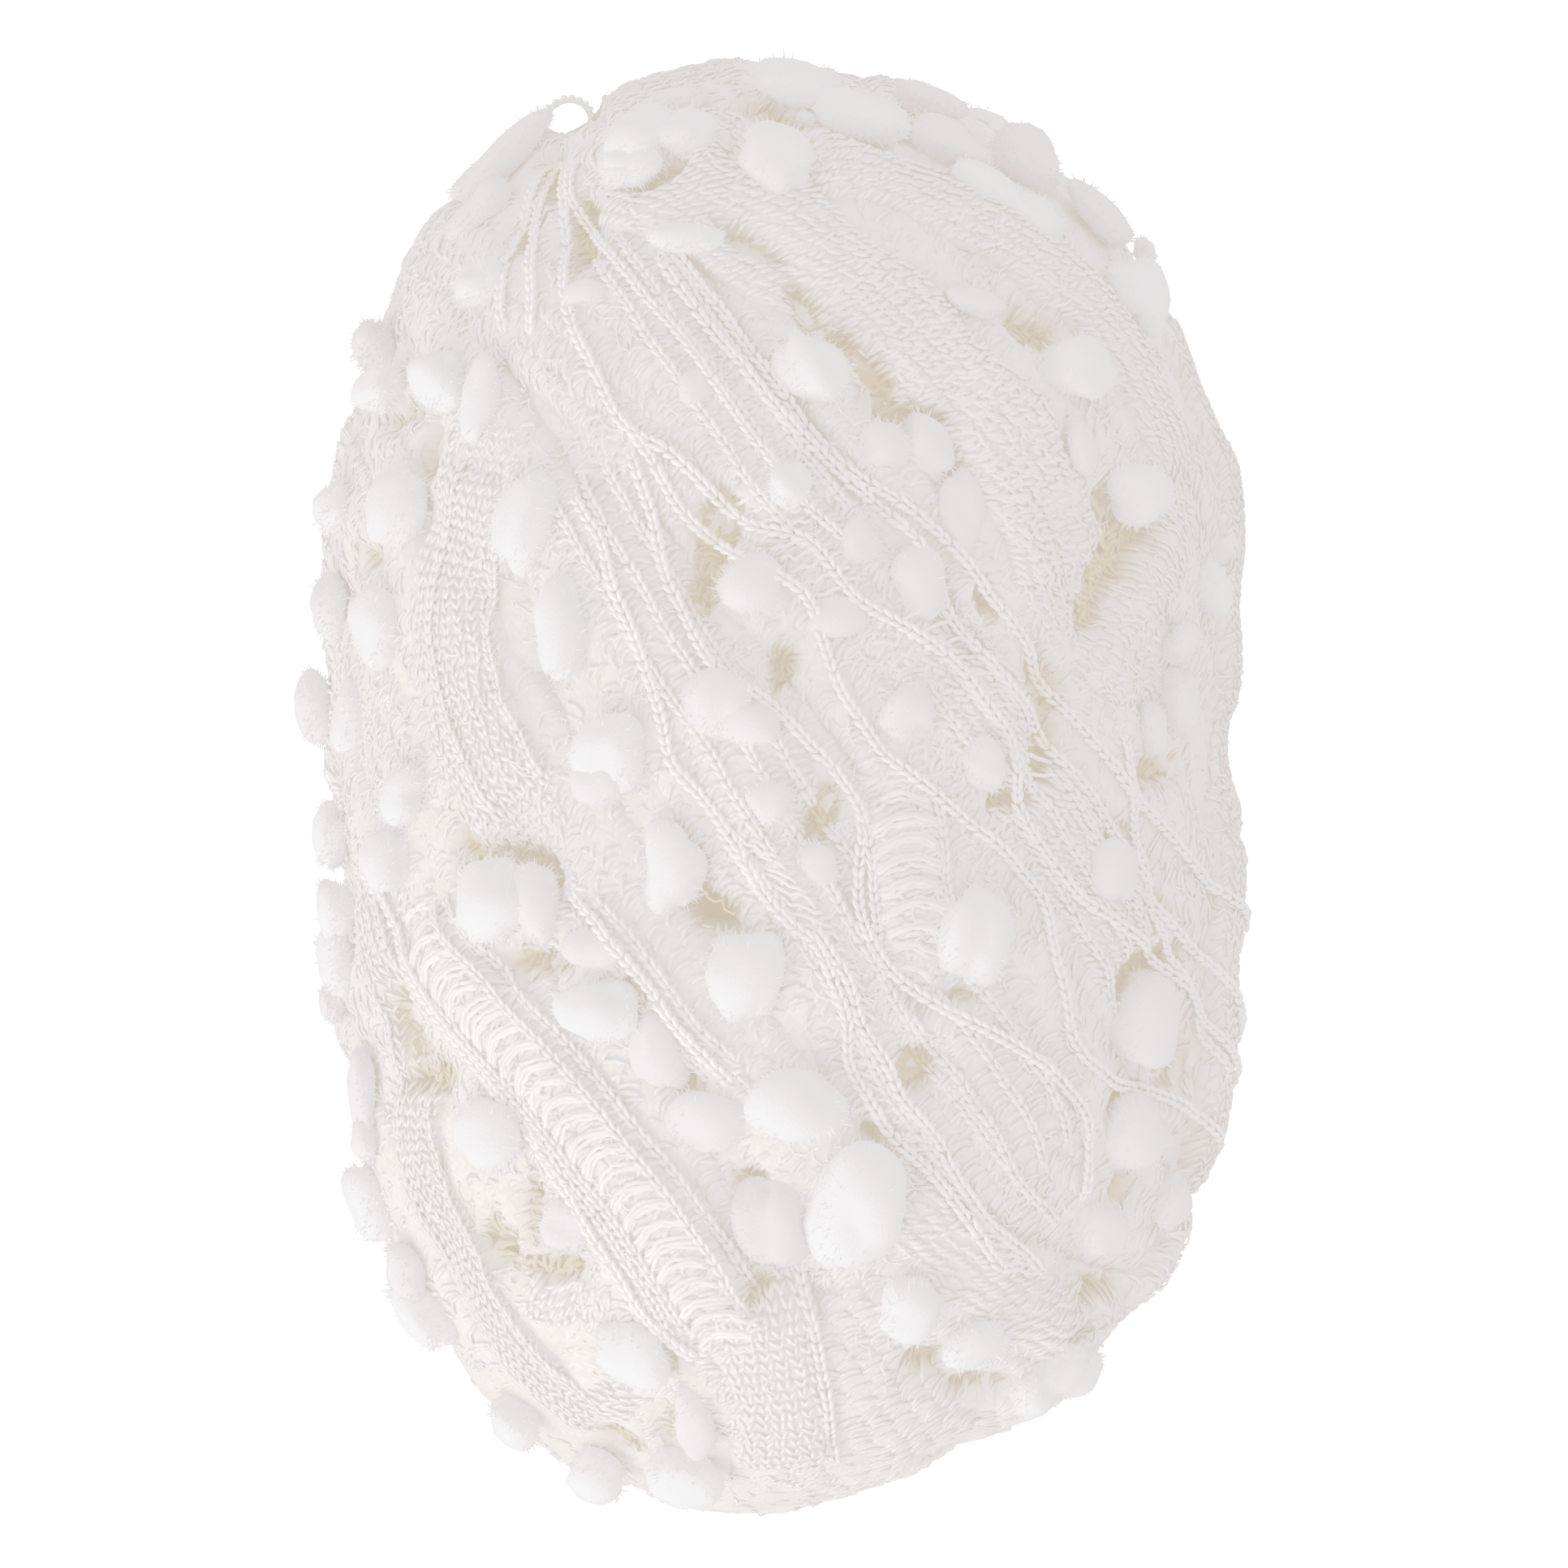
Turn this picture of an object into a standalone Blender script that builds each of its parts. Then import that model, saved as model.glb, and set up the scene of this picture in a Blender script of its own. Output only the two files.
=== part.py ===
"""A ball of pompom yarn, lying on its side.

The yarn is a wide knitted tape with pompoms along it, gathered and wound slantwise into an
oblong ball with no core. The ball is one closed solid: a rounded oblong form, the main turns of
tape raised on it as ridges, the pompoms fused into them, and a flat spot underneath where it
rests. The long axis is Y, up is +Z, and the origin is under the middle of the box, on the floor.
"""

import math
from typing import NamedTuple

import bmesh
import bpy
import numpy as np
from mathutils import Matrix, Vector

MM = 0.001

# Driving dimensions of the ball
HALF_LENGTH = 100.0 * MM
AXIS_HEIGHT = 55.0 * MM
END_BLUNTNESS = 2.6
GROUND_DEPTH = 3.4 * MM
RIDGE_EDGE = 0.3
STEPS_AROUND = 58
STEPS_ALONG = 36
EVEN_RINGS = 0.6
ROUTE_STEP = 3.0 * MM

# Pompoms
POMPOM_STAND = 0.02
POMPOM_HEIGHT = 0.92
EDGE_STAND = 2.0 * MM
POMPOM_SIDES = 7
POMPOM_RINGS = 5
REAR_POMPOMS = 92
REAR_LENGTH = 12.0 * MM
REAR_WIDTH = 9.5 * MM
REAR_SPACING = 11.5 * MM
REAR_TOP = -16.0 * MM
REAR_SEED = 7

UP = 1
DOWN = -1


class Section(NamedTuple):
    """How far the ball reaches from its axis at one place along it, in millimetres.

    The reaches are those before the ends are rounded off.
    """

    along: float
    left: float
    right: float
    top: float
    under: float


class Turn(NamedTuple):
    """One main turn of tape: its width and thickness, and its closed route round the ball.

    Each stop of the route is (x, y, side) in millimetres, on the upper or the lower side.
    """

    width: float
    height: float
    route: tuple


class Pompom(NamedTuple):
    """One pompom, seen from above: its middle, size and direction of its long axis."""

    x: float
    y: float
    length: float
    width: float
    heading: float


SECTIONS = (
    Section(-100, 46, 22, 44, 50),
    Section(-93, 50, 41, 50, 54),
    Section(-82, 55, 55, 53, 57),
    Section(-65, 59, 59.5, 55, 59),
    Section(-40, 58.5, 62.5, 56, 60),
    Section(-15, 58, 62, 56, 60),
    Section(10, 58, 61, 55.5, 60),
    Section(32, 59, 62.5, 55, 59.5),
    Section(55, 60.5, 62.5, 55, 58.5),
    Section(76, 62, 63, 53, 57),
    Section(90, 66, 59, 51, 55),
    Section(100, 60, 50, 48, 52),
)

TURNS = (
    Turn(18, 3.0, ((-44, 80, UP), (-11, 80, UP), (12, 68, UP), (29, 52, UP), (41, 33, UP),
                   (50, 5, UP), (58, -30, UP), (40, -50, DOWN), (5, -20, DOWN),
                   (-30, 25, DOWN), (-56, 60, DOWN))),
    Turn(11, 2.2, ((8, 86, UP), (20, 83, UP), (32, 77, UP), (42, 69, UP), (48, 60, UP),
                   (54, 49, UP), (58, 35, UP), (60, 0, DOWN), (35, 40, DOWN), (5, 78, DOWN))),
    Turn(17, 2.6, ((-50, 60, UP), (-46, 40, UP), (-42, 15, UP), (-36, -8, UP), (-24, -28, UP),
                   (-6, -48, UP), (16, -72, UP), (20, -88, DOWN), (-8, -60, DOWN),
                   (-40, -10, DOWN), (-60, 35, DOWN))),
    Turn(13, 3.2, ((-60, 10, UP), (-56, -14, UP), (-43, -26, UP), (-34, -36, UP),
                   (-25, -47, UP), (-17, -57, UP), (-10, -68, UP), (-5, -78, UP),
                   (10, -92, UP), (35, -60, DOWN), (45, -10, DOWN), (5, 20, DOWN),
                   (-45, 25, DOWN))),
    Turn(12, 2.4, ((-2, -68, UP), (1, -82, UP), (3, -97, UP), (-10, -70, DOWN),
                   (-30, -20, DOWN), (-45, 30, DOWN), (-50, 76, UP), (-30, 60, UP),
                   (-12, 30, UP), (2, 0, UP), (10, -20, UP), (6, -45, UP))),
    Turn(12, 2.4, ((-55, 62, UP), (-58, 35, UP), (-58, 8, UP), (-58, -16, UP),
                   (-56, -37, UP), (-52.5, -54, UP), (-47, -66, UP), (-38, -77, UP),
                   (-28, -87, UP), (-18, -93, UP), (20, -84, DOWN), (25, -40, DOWN),
                   (0, 10, DOWN), (-35, 60, DOWN))),
    Turn(12, 2.6, ((18, 2, UP), (18, -14, UP), (21, -28, UP), (32, -42, UP), (44, -58, UP),
                   (46, -70, UP), (10, -70, DOWN), (-30, -50, DOWN), (-58, -20, DOWN),
                   (-30, 8, UP), (0, 22, UP), (12, 14, UP))),
    Turn(14, 2.6, ((61, 60, UP), (63, 30, UP), (63, 5, UP), (64, -30, UP), (54, -58, UP),
                   (25, -86, UP), (-15, -92, DOWN), (-50, -55, DOWN), (-56, 0, DOWN),
                   (-30, 60, DOWN), (15, 88, DOWN), (48, 72, DOWN))),
    Turn(12, 2.6, ((-40, 66, UP), (-28, 50, UP), (-22, 36, UP), (-5, 20, UP), (24, -2, UP),
                   (44, -24, UP), (56, -50, UP), (40, -75, DOWN), (10, -45, DOWN),
                   (-10, 10, DOWN), (-30, 50, DOWN), (-52, 72, DOWN))),
)

POMPOMS = (
    Pompom(-36, 87, 17, 6, 48),
    Pompom(-39.5, 80, 11, 5, 30),
    Pompom(-40, 69, 7.5, 7, 0),
    Pompom(-54, 61, 7, 7, 0),
    Pompom(-53.5, 54.5, 7, 6.5, 0),
    Pompom(-45, 56, 9, 8.5, 90),
    Pompom(-39, 53.5, 13, 4.5, 90),
    Pompom(-59, 38, 7, 6.5, 90),
    Pompom(-51, 39.5, 12, 8.5, 65),
    Pompom(-34, 36.5, 13, 8, 65),
    Pompom(-11.5, 75.5, 9.5, 4.5, 0),
    Pompom(-13, 94.5, 9, 4.5, 0),
    Pompom(4.5, 96.5, 13, 7.5, 0),
    Pompom(1, 86, 11.5, 9, -45),
    Pompom(13.5, 92, 11.5, 6.5, 0),
    Pompom(22, 94, 10, 4.5, -10),
    Pompom(25, 88.5, 11.5, 6.5, -15),
    Pompom(35.5, 86, 10.5, 8.5, -30),
    Pompom(31, 82.5, 11, 5.5, -20),
    Pompom(37, 78.5, 8.5, 5.5, -20),
    Pompom(46, 78.5, 10.5, 5.5, -35),
    Pompom(50.5, 67.5, 11, 9.5, 90),
    Pompom(42.5, 57.5, 10, 9.5, 90),
    Pompom(43, 46.5, 8, 4.5, 90),
    Pompom(51, 40, 9.5, 8.5, 0),
    Pompom(6.5, 57.5, 11.5, 8, -50),
    Pompom(15.5, 46, 8, 6.5, 0),
    Pompom(26.5, 36.5, 12.5, 6, 90),
    Pompom(20.5, 28, 10, 6.5, 90),
    Pompom(10, 23, 10.5, 5.5, 0),
    Pompom(-2, 27.5, 10, 7.5, 0),
    Pompom(61, 27.5, 8.5, 5.5, 90),
    Pompom(57, 19.5, 5.5, 5.5, 0),
    Pompom(56.5, 12, 9, 6.5, 90),
    Pompom(19.5, 10.5, 8.5, 8, 0),
    Pompom(30, 3, 7, 5.5, 90),
    Pompom(-60.5, 24.5, 8.5, 6.5, 90),
    Pompom(-53.5, 22, 10.5, 7, 90),
    Pompom(-28.5, 21.5, 14.5, 8, 90),
    Pompom(-61.5, 10.5, 8.5, 4.5, 0),
    Pompom(-57.5, 9.5, 10, 6, 90),
    Pompom(-22, 5, 11, 8.5, 90),
    Pompom(-5, 10.5, 15.5, 8.5, 0),
    Pompom(0.5, -2.5, 6.5, 6, 0),
    Pompom(-50, -1, 8, 7, 90),
    Pompom(-60.5, -7, 9, 5, 90),
    Pompom(-52.5, -10, 8, 7.5, 90),
    Pompom(-38, -16.5, 11, 10, 90),
    Pompom(-32, -16.5, 10.5, 7, 90),
    Pompom(-13, -11.5, 13, 8.5, 90),
    Pompom(-23.5, -22.5, 9, 6, 0),
    Pompom(-3.5, -26, 11.5, 10.5, 90),
    Pompom(-23.5, -31, 12.5, 8.5, 0),
    Pompom(-14.5, -36, 12.5, 8, 90),
    Pompom(-59.5, -24.5, 8.5, 6.5, 90),
    Pompom(47, -12, 10.5, 7.5, 90),
    Pompom(28, -20.5, 13, 9, 90),
    Pompom(51, -32, 13.5, 10.5, 90),
    Pompom(-56, -41, 12.5, 4.5, 90),
    Pompom(-55, -57.5, 11, 7.5, 90),
    Pompom(-38, -47.5, 10, 9.5, 0),
    Pompom(-28, -60.5, 8, 7.5, 0),
    Pompom(-8, -46.5, 11, 8.5, 0),
    Pompom(4, -43.5, 11.5, 10.5, 0),
    Pompom(0.5, -59.5, 12.5, 10, 90),
    Pompom(12.5, -58, 16.5, 11.5, 90),
    Pompom(50, -47.5, 10.5, 10.5, 0),
    Pompom(45.5, -60.5, 8.5, 7.5, 0),
    Pompom(-46.5, -73, 10.5, 7, -30),
    Pompom(-34.5, -87, 7.5, 7, 0),
    Pompom(-24, -93, 7.5, 7.5, 0),
    Pompom(-18.5, -78, 10.5, 8.5, 0),
    Pompom(-11.5, -95, 9.5, 7.5, 0),
    Pompom(-10, -88, 12.5, 5.5, 90),
    Pompom(20, -71.5, 8.5, 8.5, 0),
    Pompom(29, -76.5, 9, 6.5, 0),
    Pompom(36.5, -83.5, 8, 7, 30),
    Pompom(42.5, -80, 7.5, 6.5, 30),
)


def clear_scene():
    """Remove every object that the scene holds."""
    for found in list(bpy.data.objects):
        bpy.data.objects.remove(found)


def plush(name, colour, roughness):
    """A matt yarn material in a plain colour."""
    material = bpy.data.materials.new(name)
    material.use_nodes = True
    shader = material.node_tree.nodes["Principled BSDF"]
    shader.inputs["Base Color"].default_value = (*colour, 1.0)
    shader.inputs["Roughness"].default_value = roughness
    shader.inputs["Metallic"].default_value = 0.0
    material.diffuse_color = (*colour, 1.0)
    return material


def reaches_at(along):
    """The left, right, top and under reaches at places along the axis, ends rounded off.

    The table is read with straight lines between its rows, then multiplied by the rounding
    (1 - t**p)**(1/p), where t runs from -1 to 1 over the length and p is the bluntness.
    """
    table = np.array(SECTIONS) * MM
    share = np.clip(np.abs(along) / HALF_LENGTH, 0.0, 1.0)
    rounding = (1.0 - share**END_BLUNTNESS) ** (1.0 / END_BLUNTNESS)
    return [np.interp(along, table[:, 0], table[:, column]) * rounding for column in range(1, 5)]


def on_ball(around, along):
    """Points of the plain ball at angles around its axis, 0 at +X and a quarter turn at the top."""
    left, right, top, under = reaches_at(along)
    across, lift = np.cos(around), np.sin(around)
    x = across * np.where(across > 0.0, right, left)
    z = lift * np.where(lift > 0.0, top, under)
    return np.stack([x, np.broadcast_to(along, x.shape), z], axis=-1)


def angle_at(x, along, side):
    """The angle around the axis of the point seen at x from above or from below."""
    left, right, _, _ = reaches_at(along)
    share = np.clip(x / np.where(x > 0.0, right, left), -1.0, 1.0)
    return side * np.arccos(share)


def outward(around, along):
    """Unit normals of the plain ball, from small steps along and around it."""
    step_around, step_along = 0.01, 0.2 * MM
    limit = HALF_LENGTH - 2.0 * step_along
    along = np.clip(along, -limit, limit)
    run = on_ball(around + step_around, along) - on_ball(around - step_around, along)
    rise = on_ball(around, along + step_along) - on_ball(around, along - step_along)
    normal = np.cross(rise, run)
    return normal / np.linalg.norm(normal, axis=-1, keepdims=True)


def closed_curve(points, step):
    """A smooth closed curve through the points, with a point about every step of its length.

    Between two points it is the Catmull-Rom cubic of them and their neighbours.
    """
    curve = []
    count = len(points)
    for i in range(count):
        before, start, end, after = (points[(i + k) % count] for k in (-1, 0, 1, 2))
        pieces = max(2, math.ceil(np.linalg.norm(end - start) / step))
        for t in np.arange(pieces) / pieces:
            curve.append(
                0.5 * (2 * start + (end - before) * t
                       + (2 * before - 5 * start + 4 * end - after) * t**2
                       + (3 * start - before - 3 * end + after) * t**3)
            )
    return np.array(curve)


def turn_route(turn):
    """The middle line of a turn of tape, as points on the plain ball."""
    stops = np.array(turn.route, float)
    x, along, side = stops[:, 0] * MM, stops[:, 1] * MM, stops[:, 2]
    return closed_curve(on_ball(angle_at(x, along, side), along), ROUTE_STEP)


def ridge_height(points):
    """How far the tape stands out at each point: the highest of the turns that cover it.

    A turn is level over its middle and falls off smoothly over the outer part of its width.
    """
    height = np.full(points.shape[:-1], -GROUND_DEPTH)
    for turn in TURNS:
        gaps = points[..., None, :] - turn_route(turn)
        away = np.sqrt((gaps**2).sum(axis=-1)).min(axis=-1) / (0.5 * turn.width * MM)
        edge = np.clip((1.0 + RIDGE_EDGE - away) / (2.0 * RIDGE_EDGE), 0.0, 1.0)
        fall = edge * edge * (3.0 - 2.0 * edge)
        height = np.maximum(height, fall * (turn.height * MM + GROUND_DEPTH) - GROUND_DEPTH)
    return height


def wound_form(material):
    """The wound form: rings around the long axis with the turns raised, closed by two end points."""
    around = np.arange(STEPS_AROUND) * (2.0 * math.pi / STEPS_AROUND)
    share = (np.arange(STEPS_ALONG) + 0.5) / STEPS_ALONG - 0.5
    evenly, towards_ends = 2.0 * share, np.sin(share * math.pi)
    along = HALF_LENGTH * (EVEN_RINGS * evenly + (1.0 - EVEN_RINGS) * towards_ends)
    around, along = np.meshgrid(around, along)
    points = on_ball(around, along)
    points += outward(around, along) * ridge_height(points)[..., None]
    points[..., 2] += AXIS_HEIGHT

    mesh = bmesh.new()
    rings = [[mesh.verts.new(point) for point in ring] for ring in points]
    for lower, upper in zip(rings, rings[1:]):
        for i in range(STEPS_AROUND):
            j = (i + 1) % STEPS_AROUND
            mesh.faces.new((lower[i], upper[i], upper[j], lower[j]))
    for ring, sign in ((rings[0], DOWN), (rings[-1], UP)):
        middle = sum((vert.co for vert in ring), Vector()) / STEPS_AROUND
        pole = mesh.verts.new((middle.x, sign * HALF_LENGTH, middle.z))
        for i in range(STEPS_AROUND):
            mesh.faces.new((ring[i], ring[(i + 1) % STEPS_AROUND], pole))
    bmesh.ops.recalc_face_normals(mesh, faces=mesh.faces)

    data = bpy.data.meshes.new("wound_ball")
    mesh.to_mesh(data)
    mesh.free()
    data.materials.append(material)
    ball = bpy.data.objects.new("wound_ball", data)
    bpy.context.scene.collection.objects.link(ball)
    return ball


def laid_along(heading, normal):
    """A heading in the plan, turned to lie along a surface with that normal."""
    flat = Vector((math.cos(heading), math.sin(heading), 0.0))
    flat -= normal * flat.dot(normal)
    if flat.length < 0.2:
        flat = normal.cross(Vector((0.0, 1.0, 0.0)))
    return flat.normalized()


def pompom_at(group, shape, around, along, spec):
    """One pompom, half sunk into the turn under it, or standing out sideways past the ball's edge."""
    point = Vector(on_ball(np.array(around), np.array(along)))
    if abs(spec.x * MM) > abs(point.x) + EDGE_STAND:
        normal = Vector((0.0, 0.0, 1.0))
        place = Vector((spec.x * MM, point.y, point.z + AXIS_HEIGHT))
    else:
        normal = Vector(outward(np.array(around), np.array(along)))
        lift = float(ridge_height(np.array(point))) + POMPOM_STAND * spec.width * MM
        place = point + normal * lift + Vector((0.0, 0.0, AXIS_HEIGHT))
    lengthwise = laid_along(math.radians(spec.heading), normal)
    sideways = normal.cross(lengthwise)
    turn = Matrix((lengthwise, sideways, normal)).transposed().to_4x4()
    half = Vector((spec.length, spec.width, spec.width * POMPOM_HEIGHT)) * (0.5 * MM)
    pompom = bpy.data.objects.new(f"pompom_{len(group.objects):03d}", shape)
    pompom.matrix_world = Matrix.Translation(place) @ turn @ Matrix.Diagonal((*half, 1.0))
    pompom.hide_render = True
    pompom.display_type = "WIRE"
    group.objects.link(pompom)
    return place


def rear_places():
    """Evenly scattered places on the sides and underside that the listed pompoms leave bare.

    They follow a sunflower spiral from end to end, a golden angle apart around the axis.
    """
    golden = math.pi * (3.0 - math.sqrt(5.0))
    chance = np.random.default_rng(REAR_SEED)
    for i in range(REAR_POMPOMS):
        along = HALF_LENGTH * 0.95 * (1.0 - 2.0 * (i + 0.5) / REAR_POMPOMS)
        around = (i * golden + chance.uniform(-0.08, 0.08)) % (2.0 * math.pi)
        yield around, along, chance.uniform(0.0, 180.0), chance.uniform(0.8, 1.15)


def pompom_shape(material):
    """The rounded shape that the pompoms share, one unit in radius."""
    mesh = bmesh.new()
    bmesh.ops.create_uvsphere(
        mesh, u_segments=POMPOM_SIDES, v_segments=POMPOM_RINGS, radius=1.0
    )
    data = bpy.data.meshes.new("pompom")
    mesh.to_mesh(data)
    mesh.free()
    data.materials.append(material)
    return data


def pompom_group(material):
    """All the pompoms: the listed ones on top and the scattered ones round the sides and under."""
    group = bpy.data.collections.new("pompoms")
    bpy.context.scene.collection.children.link(group)
    shape = pompom_shape(material)
    placed = []
    for spec in POMPOMS:
        along = spec.y * MM
        around = float(angle_at(np.array(spec.x * MM), along, UP))
        placed.append(pompom_at(group, shape, around, along, spec))
    for around, along, heading, size in rear_places():
        point = Vector(on_ball(np.array(around), np.array(along)))
        place = point + Vector((0.0, 0.0, AXIS_HEIGHT))
        crowded = any((place - other).length < REAR_SPACING for other in placed)
        if point.z > REAR_TOP or crowded:
            continue
        spec = Pompom(0.0, 0.0, REAR_LENGTH / MM * size, REAR_WIDTH / MM * size, heading)
        placed.append(pompom_at(group, shape, around, along, spec))
    return group


def floor_cutter():
    """A block under the floor that cuts the flat resting spot."""
    mesh = bmesh.new()
    bmesh.ops.create_cube(mesh, size=1.0)
    size, depth = 0.4, 0.05
    bmesh.ops.scale(mesh, vec=(size, size, depth), verts=mesh.verts)
    bmesh.ops.translate(mesh, vec=(0.0, 0.0, -0.5 * depth), verts=mesh.verts)
    data = bpy.data.meshes.new("floor_cutter")
    mesh.to_mesh(data)
    mesh.free()
    cutter = bpy.data.objects.new("floor_cutter", data)
    bpy.context.scene.collection.objects.link(cutter)
    cutter.hide_render = True
    cutter.display_type = "WIRE"
    return cutter


def fuse(ball, pompoms, cutter):
    """Fuse the pompoms into the ball, cut it flat at the floor and keep the result as its mesh."""
    union = ball.modifiers.new("pompoms", "BOOLEAN")
    union.operation = "UNION"
    union.operand_type = "COLLECTION"
    union.collection = pompoms
    union.solver = "EXACT"
    union.material_mode = "TRANSFER"
    flat = ball.modifiers.new("flat spot", "BOOLEAN")
    flat.operation = "DIFFERENCE"
    flat.object = cutter
    flat.solver = "EXACT"
    bpy.context.view_layer.update()
    graph = bpy.context.evaluated_depsgraph_get()
    fused = bpy.data.meshes.new_from_object(ball.evaluated_get(graph))
    ball.modifiers.clear()
    ball.data = fused
    for helper in (*pompoms.objects, cutter):
        bpy.data.objects.remove(helper)
    bpy.data.collections.remove(pompoms)


def centre_on_origin(ball):
    """Move the mesh so that the middle of its box is over the origin."""
    points = np.empty(len(ball.data.vertices) * 3)
    ball.data.vertices.foreach_get("co", points)
    points = points.reshape(-1, 3)
    middle = 0.5 * (points.min(axis=0) + points.max(axis=0))
    ball.data.transform(Matrix.Translation((-middle[0], -middle[1], 0.0)))


def main():
    """Model the ball."""
    clear_scene()
    tape = plush("knitted tape", (0.90, 0.87, 0.80), 0.95)
    pile = plush("pompom pile", (0.93, 0.93, 0.92), 0.98)
    ball = wound_form(tape)
    fuse(ball, pompom_group(pile), floor_cutter())
    centre_on_origin(ball)


main()
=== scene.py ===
"""A ball of pompom yarn, dressed over its packed wound form.

The ball lies on its side. Turns of knitted tape wrap it slantwise; front turns, chained
cords, net threads, curls and pompoms lie over them, placed where the photograph shows them.
"""

import logging
import math
from dataclasses import dataclass, field, fields
from enum import Enum

import bpy
import numpy as np
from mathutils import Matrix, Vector


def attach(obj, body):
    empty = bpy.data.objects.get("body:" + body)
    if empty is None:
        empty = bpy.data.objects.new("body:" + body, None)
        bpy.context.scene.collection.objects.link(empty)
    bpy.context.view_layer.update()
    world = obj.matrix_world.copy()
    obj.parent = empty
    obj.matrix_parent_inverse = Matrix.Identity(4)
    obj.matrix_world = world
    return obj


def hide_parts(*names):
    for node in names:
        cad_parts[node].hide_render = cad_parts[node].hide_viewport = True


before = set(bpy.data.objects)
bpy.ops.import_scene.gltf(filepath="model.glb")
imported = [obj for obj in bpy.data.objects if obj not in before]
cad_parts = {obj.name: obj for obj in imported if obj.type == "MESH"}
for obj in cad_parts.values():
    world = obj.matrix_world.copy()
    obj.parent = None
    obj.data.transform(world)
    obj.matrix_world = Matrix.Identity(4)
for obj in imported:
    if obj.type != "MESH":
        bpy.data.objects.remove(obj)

LOG = logging.getLogger("pompom_yarn")
MM = 0.001
FULL_TURN = 2.0 * math.pi
GOLDEN_ANGLE = math.pi * (3.0 - math.sqrt(5.0))
NODE = "wound_ball"
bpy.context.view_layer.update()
FLOOR_GAP = 0.1 * MM
# Heights below which tape and pile darken with painted shade, and over what depth the shade gets full
TAPE_PAINTED_SHADE_SPAN = (-2.4 * MM, 2.6 * MM)
PILE_PAINTED_SHADE_SPAN = (5.0 * MM, 6.0 * MM)

# The photograph: its side, the pixel over the origin, and the size of a pixel at mid height
PHOTO_SIDE = 1932
PHOTO_CENTRE = np.array([946.5, 969.0])
PIXEL = 0.1117 * MM
VIEW_DISTANCE = 2.5
VIEW_LEVEL = 58.0 * MM
VIEW_MIDDLE = (0.5 * PHOTO_SIDE - PHOTO_CENTRE) * np.array([1.0, -1.0]) * PIXEL


def on_photo(pixels: np.ndarray) -> np.ndarray:
    """The (x, y) in metres of photograph pixels, counted from its upper left corner."""
    return (pixels - PHOTO_CENTRE) * np.array([1.0, -1.0]) * PIXEL


@dataclass
class MeshData:
    """Vertices, quads and triangles of a mesh in the making, with a UV for each vertex.

    Args:
        verts: an (n, 3) array of places in metres.
        quads: an (m, 4) array of corner numbers.
        tris: a (k, 3) array of corner numbers.
        uvs: an (n, 2) array, in millimetres or, round a thread, in turns.
    """

    verts: np.ndarray
    quads: np.ndarray
    tris: np.ndarray
    uvs: np.ndarray


def joined(parts: list[MeshData]) -> MeshData:
    """All the meshes of a list as one.

    Args:
        parts: the meshes.

    Returns:
        The mesh.
    """
    starts = np.cumsum([0] + [len(part.verts) for part in parts[:-1]])
    return MeshData(
        np.concatenate([part.verts for part in parts]),
        np.concatenate([part.quads + start for part, start in zip(parts, starts)]),
        np.concatenate([part.tris + start for part, start in zip(parts, starts)]),
        np.concatenate([part.uvs for part in parts]),
    )


def make_piece(
    name: str, data: MeshData, cover: "YarnCover", material: bpy.types.Material, slot: str = "yarn_tape",
    sunk: tuple = TAPE_PAINTED_SHADE_SPAN, smooth: bool = True
) -> None:
    """Turn mesh data into an object that rides on the frame's root body.

    Args:
        name: the piece's name.
        data: its vertices, faces and UVs.
        cover: the yarn laid so far, which gives each vertex its share of painted shade from its depth among
            the turns and in hollows.
        material: its finish.
        slot: not used.
        sunk: the height below which its colour darkens with painted shade, and over what depth the shade gets
            full.
        smooth: whether its faces are shaded as one rounded surface.
    """
    mesh = bpy.data.meshes.new(name)
    corners = np.concatenate([data.quads.ravel(), data.tris.ravel()]).astype(np.int32)
    sizes = np.repeat([4, 3], [len(data.quads), len(data.tris)]).astype(np.int32)
    mesh.vertices.add(len(data.verts))
    mesh.vertices.foreach_set("co", data.verts.astype(np.float32).ravel())
    mesh.loops.add(len(corners))
    mesh.loops.foreach_set("vertex_index", corners)
    mesh.polygons.add(len(sizes))
    mesh.polygons.foreach_set("loop_start", np.concatenate([[0], np.cumsum(sizes)[:-1]]).astype(np.int32))
    mesh.polygons.foreach_set("use_smooth", np.full(len(sizes), smooth))
    layer = mesh.uv_layers.new(name="yarn")
    layer.uv.foreach_set("vector", data.uvs[corners].astype(np.float32).ravel())
    # Painted shade: each vertex's share of the darker colour, from how deep it lies
    depth = mesh.attributes.new("depth", "FLOAT", "POINT")
    depth.data.foreach_set("value", cover.depth_of(data.verts, *sunk).astype(np.float32))
    mesh.update(calc_edges=True)
    mesh.validate()
    mesh.materials.append(material)
    piece = bpy.data.objects.new(name, mesh)
    bpy.context.scene.collection.objects.link(piece)
    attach(piece, "root")
    LOG.info("%s: %d triangles", name, 2 * len(data.quads) + len(data.tris))


def unit(vectors: np.ndarray) -> np.ndarray:
    """Each vector divided by its length."""
    return vectors / np.maximum(np.linalg.norm(vectors, axis=-1, keepdims=True), 1e-12)


def flattened(vectors: np.ndarray, normal: np.ndarray) -> np.ndarray:
    """Unit vectors of what is left of vectors once their part along the normals is taken out."""
    return unit(vectors - normal * (vectors * normal).sum(axis=-1, keepdims=True))


def turned(forth: np.ndarray, aside: np.ndarray, slant: np.ndarray) -> tuple[np.ndarray, np.ndarray]:
    """The two coordinates of places on a line and to its side, with the line turned by a slant."""
    return forth * np.cos(slant) - aside * np.sin(slant), forth * np.sin(slant) + aside * np.cos(slant)


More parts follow.
